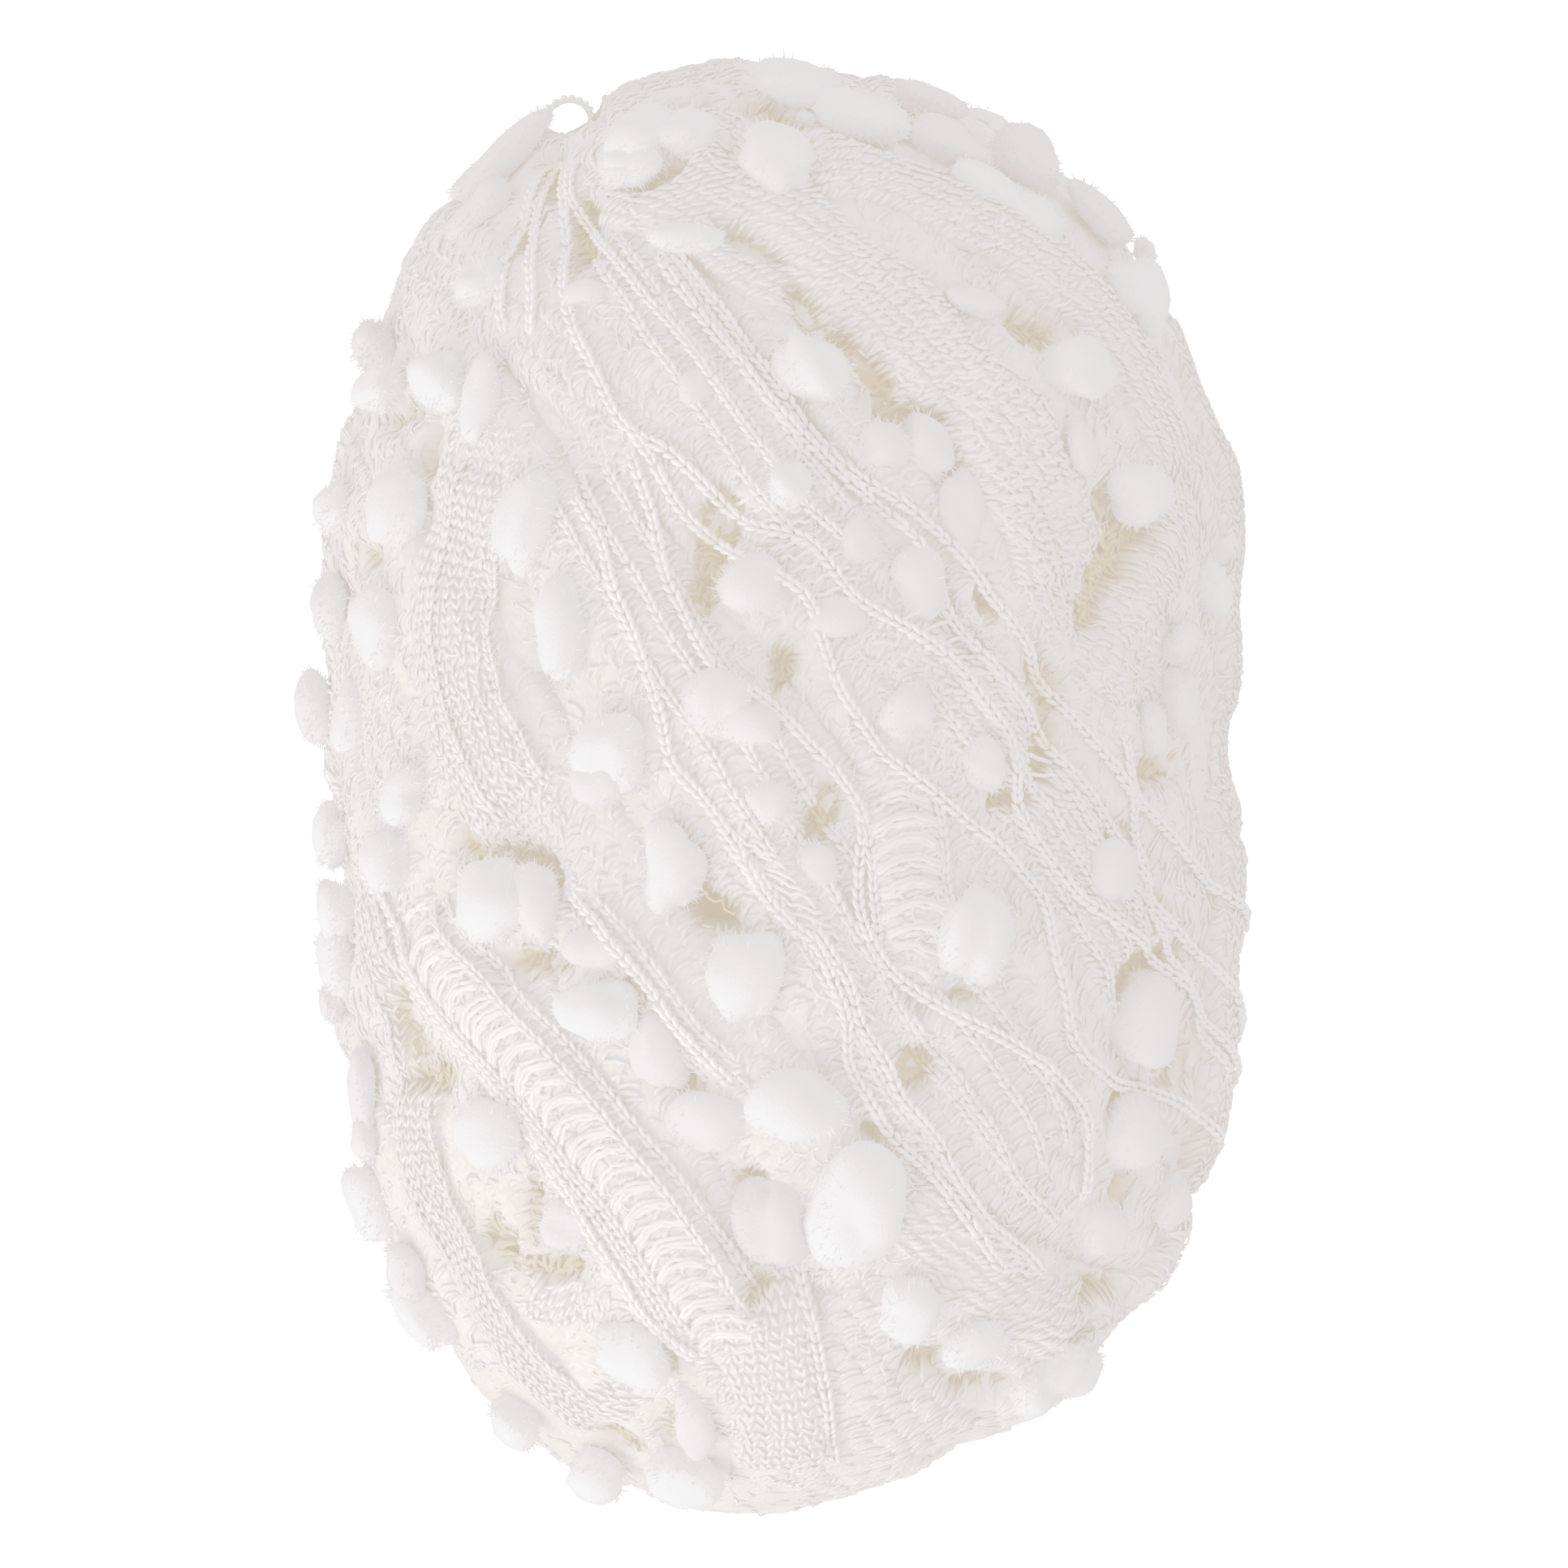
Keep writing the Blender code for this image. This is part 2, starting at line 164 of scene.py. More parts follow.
@dataclass
class BallForm:
    """The plain oblong ball under the tape: reaches from its axis, rounded off at the ends.

    Each row of sections is (along, left, right, top, under) in millimetres.
    """

    axis_height: float = 55.0 * MM
    half_length: float = 100.0 * MM
    bluntness: float = 2.6
    sections: tuple = (
        (-100, 45, 16, 44, 50),
        (-93, 50, 37.5, 50, 54),
        (-82, 56.5, 57, 53, 57),
        (-65, 59, 60, 55, 59),
        (-40, 57.5, 62, 56, 60),
        (-25, 58.5, 62.5, 56, 60),
        (-15, 59, 61.2, 56, 60),
        (10, 57, 60, 55.5, 60),
        (32, 59, 62, 55, 59.5),
        (55, 59, 62, 55, 58.5),
        (76, 58, 62.5, 53, 57),
        (90, 54, 54, 51, 55),
        (100, 36, 40, 48, 52),
    )

    def reaches(self, along: np.ndarray) -> list[np.ndarray]:
        """The left, right, top and under reaches at places along the axis.

        The table is read with straight lines, then multiplied by (1 - t**p)**(1/p), where t is
        the share of the half length and p the bluntness.

        Args:
            along: places along the axis.

        Returns:
            The four reaches there.
        """
        table = np.array(self.sections) * MM
        share = np.clip(np.abs(along) / self.half_length, 0.0, 0.9999)
        rounding = (1.0 - share**self.bluntness) ** (1.0 / self.bluntness)
        return [np.interp(along, table[:, 0], table[:, k]) * rounding for k in range(1, 5)]

    def plain(self, around: np.ndarray, along: np.ndarray) -> np.ndarray:
        """Points of the plain ball, relative to its axis: a quarter ellipse between two reaches.

        Args:
            around: angles round the axis.
            along: places along it.

        Returns:
            The points.
        """
        left, right, top, under = self.reaches(along)
        across, lift = np.cos(around), np.sin(around)
        x = across * np.where(across > 0.0, right, left)
        z = lift * np.where(lift > 0.0, top, under)
        return np.stack([x, np.broadcast_to(along, x.shape), z], axis=-1)

    def normal(self, around: np.ndarray, along: np.ndarray) -> np.ndarray:
        """Unit outward normals, from small steps around and along the plain ball.

        Args:
            around: angles round the axis.
            along: places along it.

        Returns:
            The normals.
        """
        turn, rise = 0.02, 0.8 * MM
        limit = self.half_length - 2.0 * rise
        along = np.clip(along, -limit, limit)
        sideways = self.plain(around + turn, along) - self.plain(around - turn, along)
        lengthwise = self.plain(around, along + rise) - self.plain(around, along - rise)
        return unit(np.cross(lengthwise, sideways))

    def lifted(self, around: np.ndarray, along: np.ndarray, lift: np.ndarray) -> np.ndarray:
        """Points of the scene a height above the plain ball, kept just above the floor.

        Args:
            around: angles round the axis.
            along: places along it.
            lift: heights over the plain ball.

        Returns:
            The points.
        """
        points = self.plain(around, along) + self.normal(around, along) * lift[..., None]
        points[..., 2] = np.maximum(points[..., 2] + self.axis_height, FLOOR_GAP)
        return points

    def under_view(self, pixels: np.ndarray, lift: float) -> tuple[np.ndarray, np.ndarray]:
        """The angle and place along the axis where yarn at a height shows at photograph pixels.

        A first guess straight under the pixel is moved, a few times over, by how far its seen
        place misses. The seen place is the lifted point, spread from the view's middle by
        distance / (distance - height over the middle level).

        Args:
            pixels: an (n, 2) array of pixels from the photograph's upper left corner.
            lift: height over the plain ball.

        Returns:
            The angles and the places along the axis.
        """
        target = on_photo(pixels)
        guess = target.copy()
        limit, tries, share, furthest = self.half_length * 0.985, 8, 0.8, 8.0 * MM
        for _ in range(tries):
            along = np.clip(guess[:, 1], -limit, limit)
            left, right, _, _ = self.reaches(along)
            x = guess[:, 0]
            around = np.arccos(np.clip(x / np.where(x > 0.0, right, left), -1.0, 1.0))
            point = self.plain(around, along) + self.normal(around, along) * lift
            height = point[:, 2] + self.axis_height - VIEW_LEVEL
            spread = VIEW_DISTANCE / (VIEW_DISTANCE - height)
            seen = VIEW_MIDDLE + (point[:, :2] - VIEW_MIDDLE) * spread[:, None]
            guess = np.clip(guess + share * (target - seen), target - furthest, target + furthest)
        return around, along

    def angles_of(self, points: np.ndarray) -> tuple[np.ndarray, np.ndarray]:
        """The angle and the place along the axis under points near the ball.

        Args:
            points: points relative to the axis.

        Returns:
            The angles and the places along the axis.
        """
        limit = self.half_length * 0.998
        along = np.clip(points[..., 1], -limit, limit)
        left, right, top, under = self.reaches(along)
        x, z = points[..., 0], points[..., 2]
        across = x / np.where(x > 0.0, right, left)
        return np.arctan2(z / np.where(z > 0.0, top, under), across), along

    def measured(self, points: np.ndarray) -> tuple[np.ndarray, np.ndarray, np.ndarray]:
        """Where points of the scene lie on the ball and how far they stand out along its normals.

        Args:
            points: points of the scene.

        Returns:
            The angles, the places along the axis and the heights.
        """
        from_axis = points - np.array([0.0, 0.0, self.axis_height])
        around, along = self.angles_of(from_axis)
        out = from_axis - self.plain(around, along)
        return around, along, (out * self.normal(around, along)).sum(axis=-1)

    def scattered(
        self, chance: np.random.Generator, count: int, turn: float, share: float
    ) -> tuple[np.ndarray, np.ndarray]:
        """Random places spread evenly over the ball.

        Args:
            chance: the source of random draws.
            count: how many places.
            turn: the angle that they fill, from 0; a negative one is the lower side.
            share: how much of the half length they fill.

        Returns:
            The angles and the places along the axis.
        """
        around = chance.uniform(0.0, 1.0, count) * turn
        along = np.arcsin(chance.uniform(-0.999, 0.999, count)) * 2.0 / math.pi * self.half_length * share
        return around, along

    def moved(
        self, around: np.ndarray, along: np.ndarray, east: np.ndarray, north: np.ndarray
    ) -> tuple[np.ndarray, np.ndarray]:
        """Places of points a little beside each of a row of places, dropped back on the ball.

        Args:
            around: n angles round the axis.
            along: n places along it.
            east: an (n, k) array of moves round the axis.
            north: an (n, k) array of moves along it.

        Returns:
            The angles and the places along the axis, each (n, k).
        """
        normal = self.normal(around, along)
        eastward = unit(np.cross(np.array([0.0, 1.0, 0.0]), normal))
        northward = np.cross(normal, eastward)
        return self.angles_of(
            self.plain(around, along)[:, None, :]
            + eastward[:, None, :] * east[..., None]
            + northward[:, None, :] * north[..., None]
        )


@dataclass
class YarnCover:
    """How far the yarn laid so far stands out from the plain ball, on a grid of angle and length."""

    form: BallForm
    ground: float = -1.8 * MM
    cells_around: int = 480
    cells_along: int = 270
    height: np.ndarray = field(init=False)
    dips: np.ndarray = field(init=False)

    def __post_init__(self) -> None:
        """Start with the bare ground."""
        self.height = np.full((self.cells_along, self.cells_around), self.ground)
        self.dips = np.zeros_like(self.height)

    def _cells(self, around: np.ndarray, along: np.ndarray) -> tuple[np.ndarray, np.ndarray]:
        """Places as fractional rows and columns of the grid."""
        rows = (along / self.form.half_length * 0.5 + 0.5) * (self.cells_along - 1)
        return np.clip(rows, 0.0, self.cells_along - 1.001), around / FULL_TURN % 1.0 * self.cells_around

    def _blend(self, grid: np.ndarray, around: np.ndarray, along: np.ndarray) -> np.ndarray:
        """Values of a grid at places, blended from the four cells about each.

        Args:
            grid: the grid.
            around: angles round the axis.
            along: places along it.

        Returns:
            The values.
        """
        rows, columns = self._cells(around, along)
        row, column = rows.astype(int), columns.astype(int) % self.cells_around
        down, over = rows - row, columns - np.floor(columns)
        beside = (column + 1) % self.cells_around
        low = grid[row, column] * (1 - over) + grid[row, beside] * over
        high = grid[row + 1, column] * (1 - over) + grid[row + 1, beside] * over
        return low * (1 - down) + high * down

    def read(self, around: np.ndarray, along: np.ndarray) -> np.ndarray:
        """Heights of the cover at places."""
        return self._blend(self.height, around, along)

    def dip(self, around: np.ndarray, along: np.ndarray) -> np.ndarray:
        """How far the photograph's hollows sink the yarn at places."""
        return self._blend(self.dips, around, along)

    def lift_cells(self, around: np.ndarray, along: np.ndarray, lift: np.ndarray) -> None:
        """Raise the cells under places to heights, where they are lower.

        Args:
            around: angles round the axis.
            along: places along it.
            lift: heights over the plain ball.
        """
        rows, columns = self._cells(around, along)
        cell = (np.rint(rows).astype(int), np.rint(columns).astype(int) % self.cells_around)
        np.maximum.at(self.height, cell, lift)

    def lay(self, around: np.ndarray, along: np.ndarray, lift: np.ndarray) -> None:
        """Raise the cells under a grid of laid yarn to its height, with the grid drawn finer first.

        Args:
            around: the grid's angles round the axis.
            along: its places along it.
            lift: its heights over the plain ball.
        """
        grids, fine = [], 3
        for grid in (np.unwrap(np.unwrap(around, axis=0), axis=1), along, lift):
            for axis in (0, 1):
                count = grid.shape[axis]
                at = np.linspace(0.0, count - 1.0, (count - 1) * fine + 1)
                low = np.minimum(at.astype(int), count - 2)
                share = (at - low).reshape((-1, 1) if axis == 0 else (1, -1))
                grid = np.take(grid, low, axis) * (1 - share) + np.take(grid, low + 1, axis) * share
            grids.append(grid.ravel())
        self.lift_cells(*grids)

    def depth_of(self, points: np.ndarray, start: float, run: float) -> np.ndarray:
        """How much painted shade points of the scene get: the deeper they lie among the turns or in a hollow,
        the more.

        Args:
            points: points of the scene.
            start: the height below which painted shade starts.
            run: how far below it the painted shade is full.

        Returns:
            Shares of painted shade from 0 to 1.
        """
        full_dip, fade = 4.0 * MM, 2.0 * MM
        around, along, height = self.form.measured(points)
        # Painted shade in the hollows, fading where the yarn stands higher
        hollow = self.dip(around, along) / full_dip * np.clip(1.0 - height / fade, 0.0, 1.0)
        return np.clip(np.maximum((start - height) / run, hollow), 0.0, 1.0)

    def softened(self, spread: float) -> "YarnCover":
        """A copy blurred by a bell curve, by way of its frequencies.

        Args:
            spread: the bell curve's width in metres.

        Returns:
            The copy.
        """
        cell_along = 2.0 * self.form.half_length / self.cells_along
        cell_around = FULL_TURN * self.form.axis_height / self.cells_around
        rows = np.fft.fftfreq(self.cells_along)[:, None] * spread / cell_along
        columns = np.fft.rfftfreq(self.cells_around)[None, :] * spread / cell_around
        bell = np.exp(-2.0 * math.pi**2 * (rows**2 + columns**2))
        copy = YarnCover(self.form, self.ground, self.cells_around, self.cells_along)
        copy.height = np.fft.irfft2(np.fft.rfft2(self.height) * bell, s=self.height.shape)
        copy.dips = self.dips
        return copy

    def mark(self, hollows: tuple) -> None:
        """Note the hollows that the photograph shows dark between the turns, which sink the yarn and darken
        it with painted shade.

        Args:
            hollows: the hollows.
        """
        around = np.arange(self.cells_around) * (FULL_TURN / self.cells_around)
        along = np.linspace(-1.0, 1.0, self.cells_along) * self.form.half_length
        points = self.form.plain(*np.meshgrid(around, along))
        for hollow in hollows:
            self.dips = np.maximum(self.dips, hollow.dip(points))


@dataclass(frozen=True)
class Hollow:
    """A gap between turns that sinks the yarn and darkens it with painted shade: its middle in photograph
    pixels, its sizes in millimetres.
    """

    across: float
    down: float
    length: float
    width: float
    heading: float
    depth: float
    foot: float = 14.0

    def dip(self, points: np.ndarray) -> np.ndarray:
        """How deep it is at points: exp(-r**4) over its length and width, fading above its foot.

        Args:
            points: points relative to the ball's axis.

        Returns:
            The depths.
        """
        x, y = np.moveaxis(points[..., :2] - on_photo(np.array([self.across, self.down])), -1, 0)
        lengthwise, crosswise = turned(x, y, -math.radians(self.heading))
        half_length, half_width, fade_height = 0.6 * self.length * MM, 0.5 * self.width * MM, 6.0
        reach = (lengthwise / half_length) ** 2 + (crosswise / half_width) ** 2
        wavy = 1.0 + 0.25 * np.sin(x / (0.9 * MM)) * np.sin(y / (1.1 * MM) + 1.0)
        fade = np.clip((points[..., 2] / MM - self.foot) / fade_height, 0.0, 1.0)
        return np.exp(-(reach**2) * wavy) * self.depth * MM * fade


def smooth_curve(points: np.ndarray, pieces: int = 12) -> np.ndarray:
    """A smooth open curve through points: between two of them it is their Catmull-Rom cubic.

    Args:
        points: an (n, d) array of places that the curve passes through.
        pieces: how many steps there are between two places.

    Returns:
        The curve's points in order.
    """
    padded = np.concatenate([2 * points[:1] - points[1:2], points, 2 * points[-1:] - points[-2:-1]])
    before, start, end, after = (padded[k:len(padded) - 3 + k, None, :] for k in range(4))
    t = (np.arange(pieces) / pieces)[None, :, None]
    curve = 0.5 * (
        2 * start
        + (end - before) * t
        + (2 * before - 5 * start + 4 * end - after) * t**2
        + (3 * start - before - 3 * end + after) * t**3
    )
    return np.concatenate([curve.reshape(-1, points.shape[1]), points[-1:]])


@dataclass
class Route:
    """A line over the ball: evenly spaced places, with the directions along, out and across."""

    form: BallForm
    around: np.ndarray
    along: np.ndarray
    closed: bool
    step: float

    @classmethod
    def through(cls, form: BallForm, points: np.ndarray, closed: bool, step: float) -> "Route":
        """A route through dense points of the plain ball, taken at even steps of its length.

        Args:
            form: the ball.
            points: an (n, 3) array of points.
            closed: whether it returns to its start.
            step: about how far apart its places are.

        Returns:
            The route.
        """
        if closed:
            points = np.concatenate([points, points[:1]])
        length = np.concatenate([[0.0], np.cumsum(np.linalg.norm(np.diff(points, axis=0), axis=1))])
        count = max(4, round(length[-1] / step))
        at = np.linspace(0.0, length[-1], count + 1)[: count if closed else count + 1]
        even = np.stack([np.interp(at, length, points[:, k]) for k in range(3)], axis=-1)
        return cls(form, *form.angles_of(even), closed, length[-1] / count)

    @classmethod
    def seen(cls, form: BallForm, pixels: tuple, step: float) -> "Route":
        """A route over the upper side through places given as photograph pixels.

        Args:
            form: the ball.
            pixels: the places.
            step: about how far apart the route's places are.

        Returns:
            The route.
        """
        usual_lift = 2.5 * MM
        around, along = form.under_view(smooth_curve(np.array(pixels, float)), usual_lift)
        return cls.through(form, form.plain(around, along), False, step)

    @classmethod
    def ring(cls, form: BallForm, bearing: float, lean: float, shift: float, step: float) -> "Route":
        """A closed turn round the ball: where a slanting plane cuts a unit ball, stretched to it.

        Args:
            form: the ball.
            bearing: direction that the plane faces, in degrees from +X towards +Y.
            lean: how far it faces up from the floor, in degrees.
            shift: its distance from the middle, as a share of the unit ball's radius.
            step: spacing of the route's places.

        Returns:
            The route.
        """
        face, rise = math.radians(bearing), math.radians(lean)
        level = math.cos(rise)
        normal = np.array([math.cos(face) * level, math.sin(face) * level, math.sin(rise)])
        first = unit(np.cross(normal, [0.0, 0.0, 1.0]))
        second = np.cross(normal, first)
        turn = np.linspace(0.0, FULL_TURN, 240, endpoint=False)[:, None]
        reach = math.sqrt(1.0 - shift**2)
        ball = shift * normal + reach * (np.cos(turn) * first + np.sin(turn) * second)
        along = ball[:, 1] * form.half_length * 0.99
        around = np.arctan2(ball[:, 2], ball[:, 0])
        return cls.through(form, form.plain(around, along), True, step)

    def directions(self) -> tuple[np.ndarray, np.ndarray, np.ndarray, np.ndarray]:
        """Points on the plain ball and unit vectors along the route, outwards and across it.

        Returns:
            Four arrays of a row for each place.
        """
        points = self.form.plain(self.around, self.along)
        if self.closed:
            ahead = np.roll(points, -1, 0) - np.roll(points, 1, 0)
        else:
            ahead = np.gradient(points, axis=0)
        normal = self.form.normal(self.around, self.along)
        ahead = flattened(ahead, normal)
        return points, ahead, normal, np.cross(ahead, normal)

    def beside(self, offset: np.ndarray) -> tuple[np.ndarray, np.ndarray]:
        """Angles and places of points moved sideways from each place, dropped back on the ball.

        Args:
            offset: a row of moves for each place.

        Returns:
            The angles and the places along the axis.
        """
        points, _, _, across = self.directions()
        return self.form.angles_of(points[:, None, :] + across[:, None, :] * offset[..., None])

    def near(self, at: np.ndarray, forth: np.ndarray, aside: np.ndarray) -> tuple[np.ndarray, np.ndarray]:
        """Angles and places of points ahead of and beside lengths along the route.

        Args:
            at: n lengths along the route.
            forth: an (n, k) array of how far ahead of them the points are.
            aside: an (n, k) array of how far they are to the side.

        Returns:
            The angles and the places along the axis, each (n, k).
        """
        points, ahead, _, across = self.directions()
        place = np.clip(np.rint(at / self.step).astype(int), 0, len(points) - 1)
        forth = forth + (at - place * self.step)[:, None]
        return self.form.angles_of(
            points[place][:, None, :]
            + ahead[place][:, None, :] * forth[..., None]
            + across[place][:, None, :] * aside[..., None]
        )

    def ends(self, run: float) -> np.ndarray:
        """0 at the ends of an open route, rising smoothly to 1 within a run of its length.

        Args:
            run: the length.

        Returns:
            A share for each place; a closed route has 1 all round.
        """
        if self.closed:
            return np.ones(len(self.around))
        at = np.arange(len(self.around)) * self.step
        rise = np.clip(np.minimum(at, at[-1] - at) / run, 0.0, 1.0)
        return rise * rise * (3.0 - 2.0 * rise)


@dataclass(frozen=True)
class Stitch:
    """How the strands of a knitted tape lie, in millimetres and degrees.

    Args:
        column: spacing of the strands across the tape.
        row: spacing of the rows along it.
        slant: angle of a strand from the tape's direction.
        length: length of a strand.
        thread: its radius.
        bend: how far its middle bows aside.
        scatter: how unevenly the strands turn.
        mirrored: whether every other column slants the other way, as in stocking stitch.
        points: points along a strand, its two tips among them.
        bundle: how many strands lie side by side in a row.
    """

    column: float
    row: float
    slant: float
    length: float
    thread: float
    bend: float
    scatter: float
    mirrored: bool
    points: int = 4
    bundle: int = 1


class Knit(Enum):
    """The named knits of the tape's stretches."""

    ROWS = Stitch(1.75, 1.15, -42.0, 3.0, 0.4, 0.25, 18.0, False)
    BARS = Stitch(3.0, 2.0, -78.0, 3.2, 0.4, 0.5, 12.0, False, 5, 2)
    CROSSED = Stitch(2.6, 2.2, 86.0, 3.0, 0.36, 0.7, 16.0, False, 5, 2)
    STOCKING = Stitch(0.95, 1.6, 27.0, 2.5, 0.4, 0.12, 12.0, True)
    LADDER = Stitch(3.5, 2.2, 84.0, 4.2, 0.38, 1.1, 16.0, False, 5, 2)
    LOOSE = Stitch(4.0, 2.3, 80.0, 4.6, 0.4, 1.3, 20.0, False, 5, 2)


@dataclass
class Strands:
    """Short strands of yarn waiting to be made: where each one's points lie and how thick it is."""

    around: np.ndarray
    along: np.ndarray
    lift: np.ndarray
    thread: np.ndarray

    @classmethod
    def joined(cls, parts: list["Strands"]) -> "Strands":
        """All the strands of a list as one batch."""
        return cls(*(np.concatenate([getattr(part, item.name) for part in parts]) for item in fields(cls)))

    def chosen(self, index: np.ndarray) -> "Strands":
        """The strands of an index or a mask."""
        return Strands(*(getattr(self, item.name)[index] for item in fields(self)))

    def seen(self, cover: YarnCover, buried: float) -> "Strands":
        """Those that later yarn doesn't cover by more than a depth."""
        middle = self.around.shape[1] // 2
        over = cover.read(self.around[:, middle], self.along[:, middle])
        return self.chosen(self.lift[:, middle] > over - buried)

    def mesh(self, form: BallForm) -> MeshData:
        """The strands as three-sided tubes that run to a point at both ends."""
        paths = form.lifted(self.around, self.along, self.lift)
        return spindles(paths, form.normal(self.around, self.along), self.thread[:, None], press=0.65)


@dataclass
class Tape:
    """One turn of knitted tape: a closed flat tube, with the strands of its stitches on top.

    Args:
        route: its middle line.
        width: its width in metres.
        thickness: how far its middle stands over what it lies on.
        cells: faces across its top.
        cap: the highest bed that it lies on, so that turns don't pile up.
        bed: how widely it bridges what it lies on.
        wander: how far its line sways from its route.
        seed: the start of its random draws.
        tuck: how far an open end sinks under what is round it.
        under: how far its lower side lies under its bed.
        inset: the half width of its lower side as a share of its upper side's.
    """

    route: Route
    width: float
    thickness: float
    cells: int
    cap: float
    bed: float
    wander: float
    seed: int
    tuck: float = 4.0 * MM
    under: float = 1.2 * MM
    inset: float = 0.75

    def _sway(self, at: np.ndarray) -> tuple[np.ndarray, np.ndarray]:
        """How far the tape's middle lies aside and half its width, at lengths along it.

        Both swing on sines of the share of the tape's length.

        Args:
            at: lengths along the tape.

        Returns:
            The two values there.
        """
        beats = np.random.default_rng(self.seed).uniform(0.0, FULL_TURN, 3)
        phase = at / (self.route.step * len(self.route.around)) * FULL_TURN
        sway = self.wander * (np.sin(3 * phase + beats[0]) + 0.6 * np.sin(7 * phase + beats[1]))
        return sway, 0.5 * self.width * (1.0 + 0.1 * np.sin(5 * phase + beats[2]))

    def build(self, cover: YarnCover) -> MeshData:
        """Lay the tape over the cover, raise the cover to it and return its mesh.

        Its top stands (1 - |share|**2.6)**0.6 of its thickness over the softened cover, where
        share runs from -1 to 1 across it. Near the ball's ends its bed is lower.

        Args:
            cover: the yarn laid so far.

        Returns:
            The mesh.
        """
        route = self.route
        at = np.arange(len(route.around)) * route.step
        sway, half = (value[:, None] for value in self._sway(at))
        share = np.linspace(-1.0, 1.0, self.cells + 1)[None, :]
        around, along = route.beside(sway + half * share)
        end_run, end_drop, end_crown = 9.0 * MM, 2.4 * MM, 0.35
        nearing = np.clip(np.abs(along) / route.form.half_length * 10.0 - 8.9, 0.0, 1.0)
        bed = np.minimum(cover.softened(self.bed).read(around, along), self.cap - end_drop * nearing)
        crown = (1.0 - np.abs(share) ** 2.6) ** 0.6
        fade = route.ends(end_run)[:, None]
        sunk = (1.0 - fade) * self.tuck + cover.dip(around, along)
        lift = bed - sunk + self.thickness * crown * (end_crown + (1.0 - end_crown) * fade)
        cover.lay(around, along, lift)
        turned_in = half * np.array([[self.inset, -self.inset]])
        inner = (bed - sunk)[:, [-1, 0]] - self.under
        lower = route.form.lifted(*route.beside(turned_in + sway), inner)
        rings = np.concatenate([route.form.lifted(around, along, lift), lower], axis=1)
        across = np.concatenate([half * share, turned_in], axis=1) / MM
        uvs = np.stack([across, np.broadcast_to(at[:, None] / MM, across.shape)], axis=-1)
        if route.closed:
            return tubes(rings[None], closed=True, uvs=uvs.reshape(-1, 2))
        ends = [0, -1]
        uvs = np.concatenate([uvs.reshape(-1, 2), uvs[ends].mean(axis=1)])
        return tubes(rings[None], rings[None, ends].mean(axis=2), uvs=uvs)

    def strands(self, cover: YarnCover, stitch: Stitch) -> Strands:
        """The strands of its stitches, on rows and columns over the tape just laid.

        Each is a short bow: it runs straight at its slant, and its middle is pushed aside and
        lifted by 1 - t**2, where t runs from -1 to 1 along it.

        Args:
            cover: the cover with this tape laid on it.
            stitch: how the strands lie.

        Returns:
            The strands, not made yet.
        """
        chance = np.random.default_rng(self.seed + 500)
        filled, apart = 0.93, 0.55 * MM
        columns = max(1, round(filled * self.width / (stitch.column * MM)))
        share = ((np.arange(columns) + 0.5) / columns * 2.0 - 1.0) * filled
        at = np.arange(0.0, len(self.route.around) * self.route.step, stitch.row * MM)
        at = (at[:, None] + np.arange(stitch.bundle) * apart).ravel()
        column, row = (grid.ravel() for grid in np.meshgrid(np.arange(columns), np.arange(len(at))))
        count = column.size
        sway, half = self._sway(at)
        loose = stitch.scatter / 60.0
        jitter = loose * MM * (1.0 if stitch.bundle > 1 else 0.5)
        aside = sway[row] + half[row] * share[column] + chance.normal(0.0, jitter, count)
        ahead_by = at[row] + chance.normal(0.0, jitter, count)
        sign = np.where(column % 2 == 0, 1.0, -1.0) if stitch.mirrored else np.ones(count)
        slant = np.radians(stitch.slant + chance.normal(0.0, stitch.scatter, count)) * sign
        length = stitch.length * MM * chance.uniform(0.85, 1.15, count)
        t = np.linspace(-1.0, 1.0, stitch.points)[None, :]
        bow = 1.0 - t**2
        bent = stitch.bend * MM * bow * chance.uniform(0.3, 1.3, count)[:, None] * sign[:, None]
        forth, wide = turned(0.5 * length[:, None] * t, bent, slant[:, None])
        around, along = self.route.near(ahead_by, forth, wide + aside[:, None])
        thread = stitch.thread * MM * chance.uniform(0.85, 1.2, count)
        raised = thread[:, None] * (0.75 * bow - 0.15) + loose * 0.25 * MM * chance.random(count)[:, None]
        return Strands(around, along, cover.read(around, along) + raised, thread)

    def ribs(self, cover: YarnCover, span: tuple) -> MeshData:
        """Bundles of threads that cross the tape just laid, each bowed back along it and outwards.

        Args:
            cover: the cover with this tape laid on it.
            span: where they start and end across the tape, from -1 to 1.

        Returns:
            The mesh.
        """
        start, pitch, bundle, points = 2.0 * MM, 2.9 * MM, np.array([0.0, 0.45, 0.9]) * MM, 11
        at = np.arange(start, (len(self.route.around) - 2) * self.route.step, pitch)
        at = (at[:, None] + bundle).ravel()
        sway, half = self._sway(at)
        chance = np.random.default_rng(self.seed + 900)
        share = np.linspace(0.0, 1.0, points)[None, :]
        aside = sway[:, None] + half[:, None] * (span[0] + (span[1] - span[0]) * share)
        uneven = sum(chance.normal(0.0, 0.14 * MM, (len(at), width)) for width in (1, points))
        arch = chance.uniform(1.5, 2.3, (len(at), 1)) * MM
        around, along = self.route.near(at, arch * (0.5 - np.sin(math.pi * share)) + uneven, aside)
        crest = np.where(np.arange(len(at)) % 3 == 1, 0.45, 0.25)[:, None] * MM
        lift = cover.read(around, along) + 0.05 * MM + crest * np.sin(math.pi * share) ** 0.5
        paths = self.route.form.lifted(around, along, lift)
        return threads(paths, self.route.form.normal(around, along), 0.45 * MM, press=0.6)


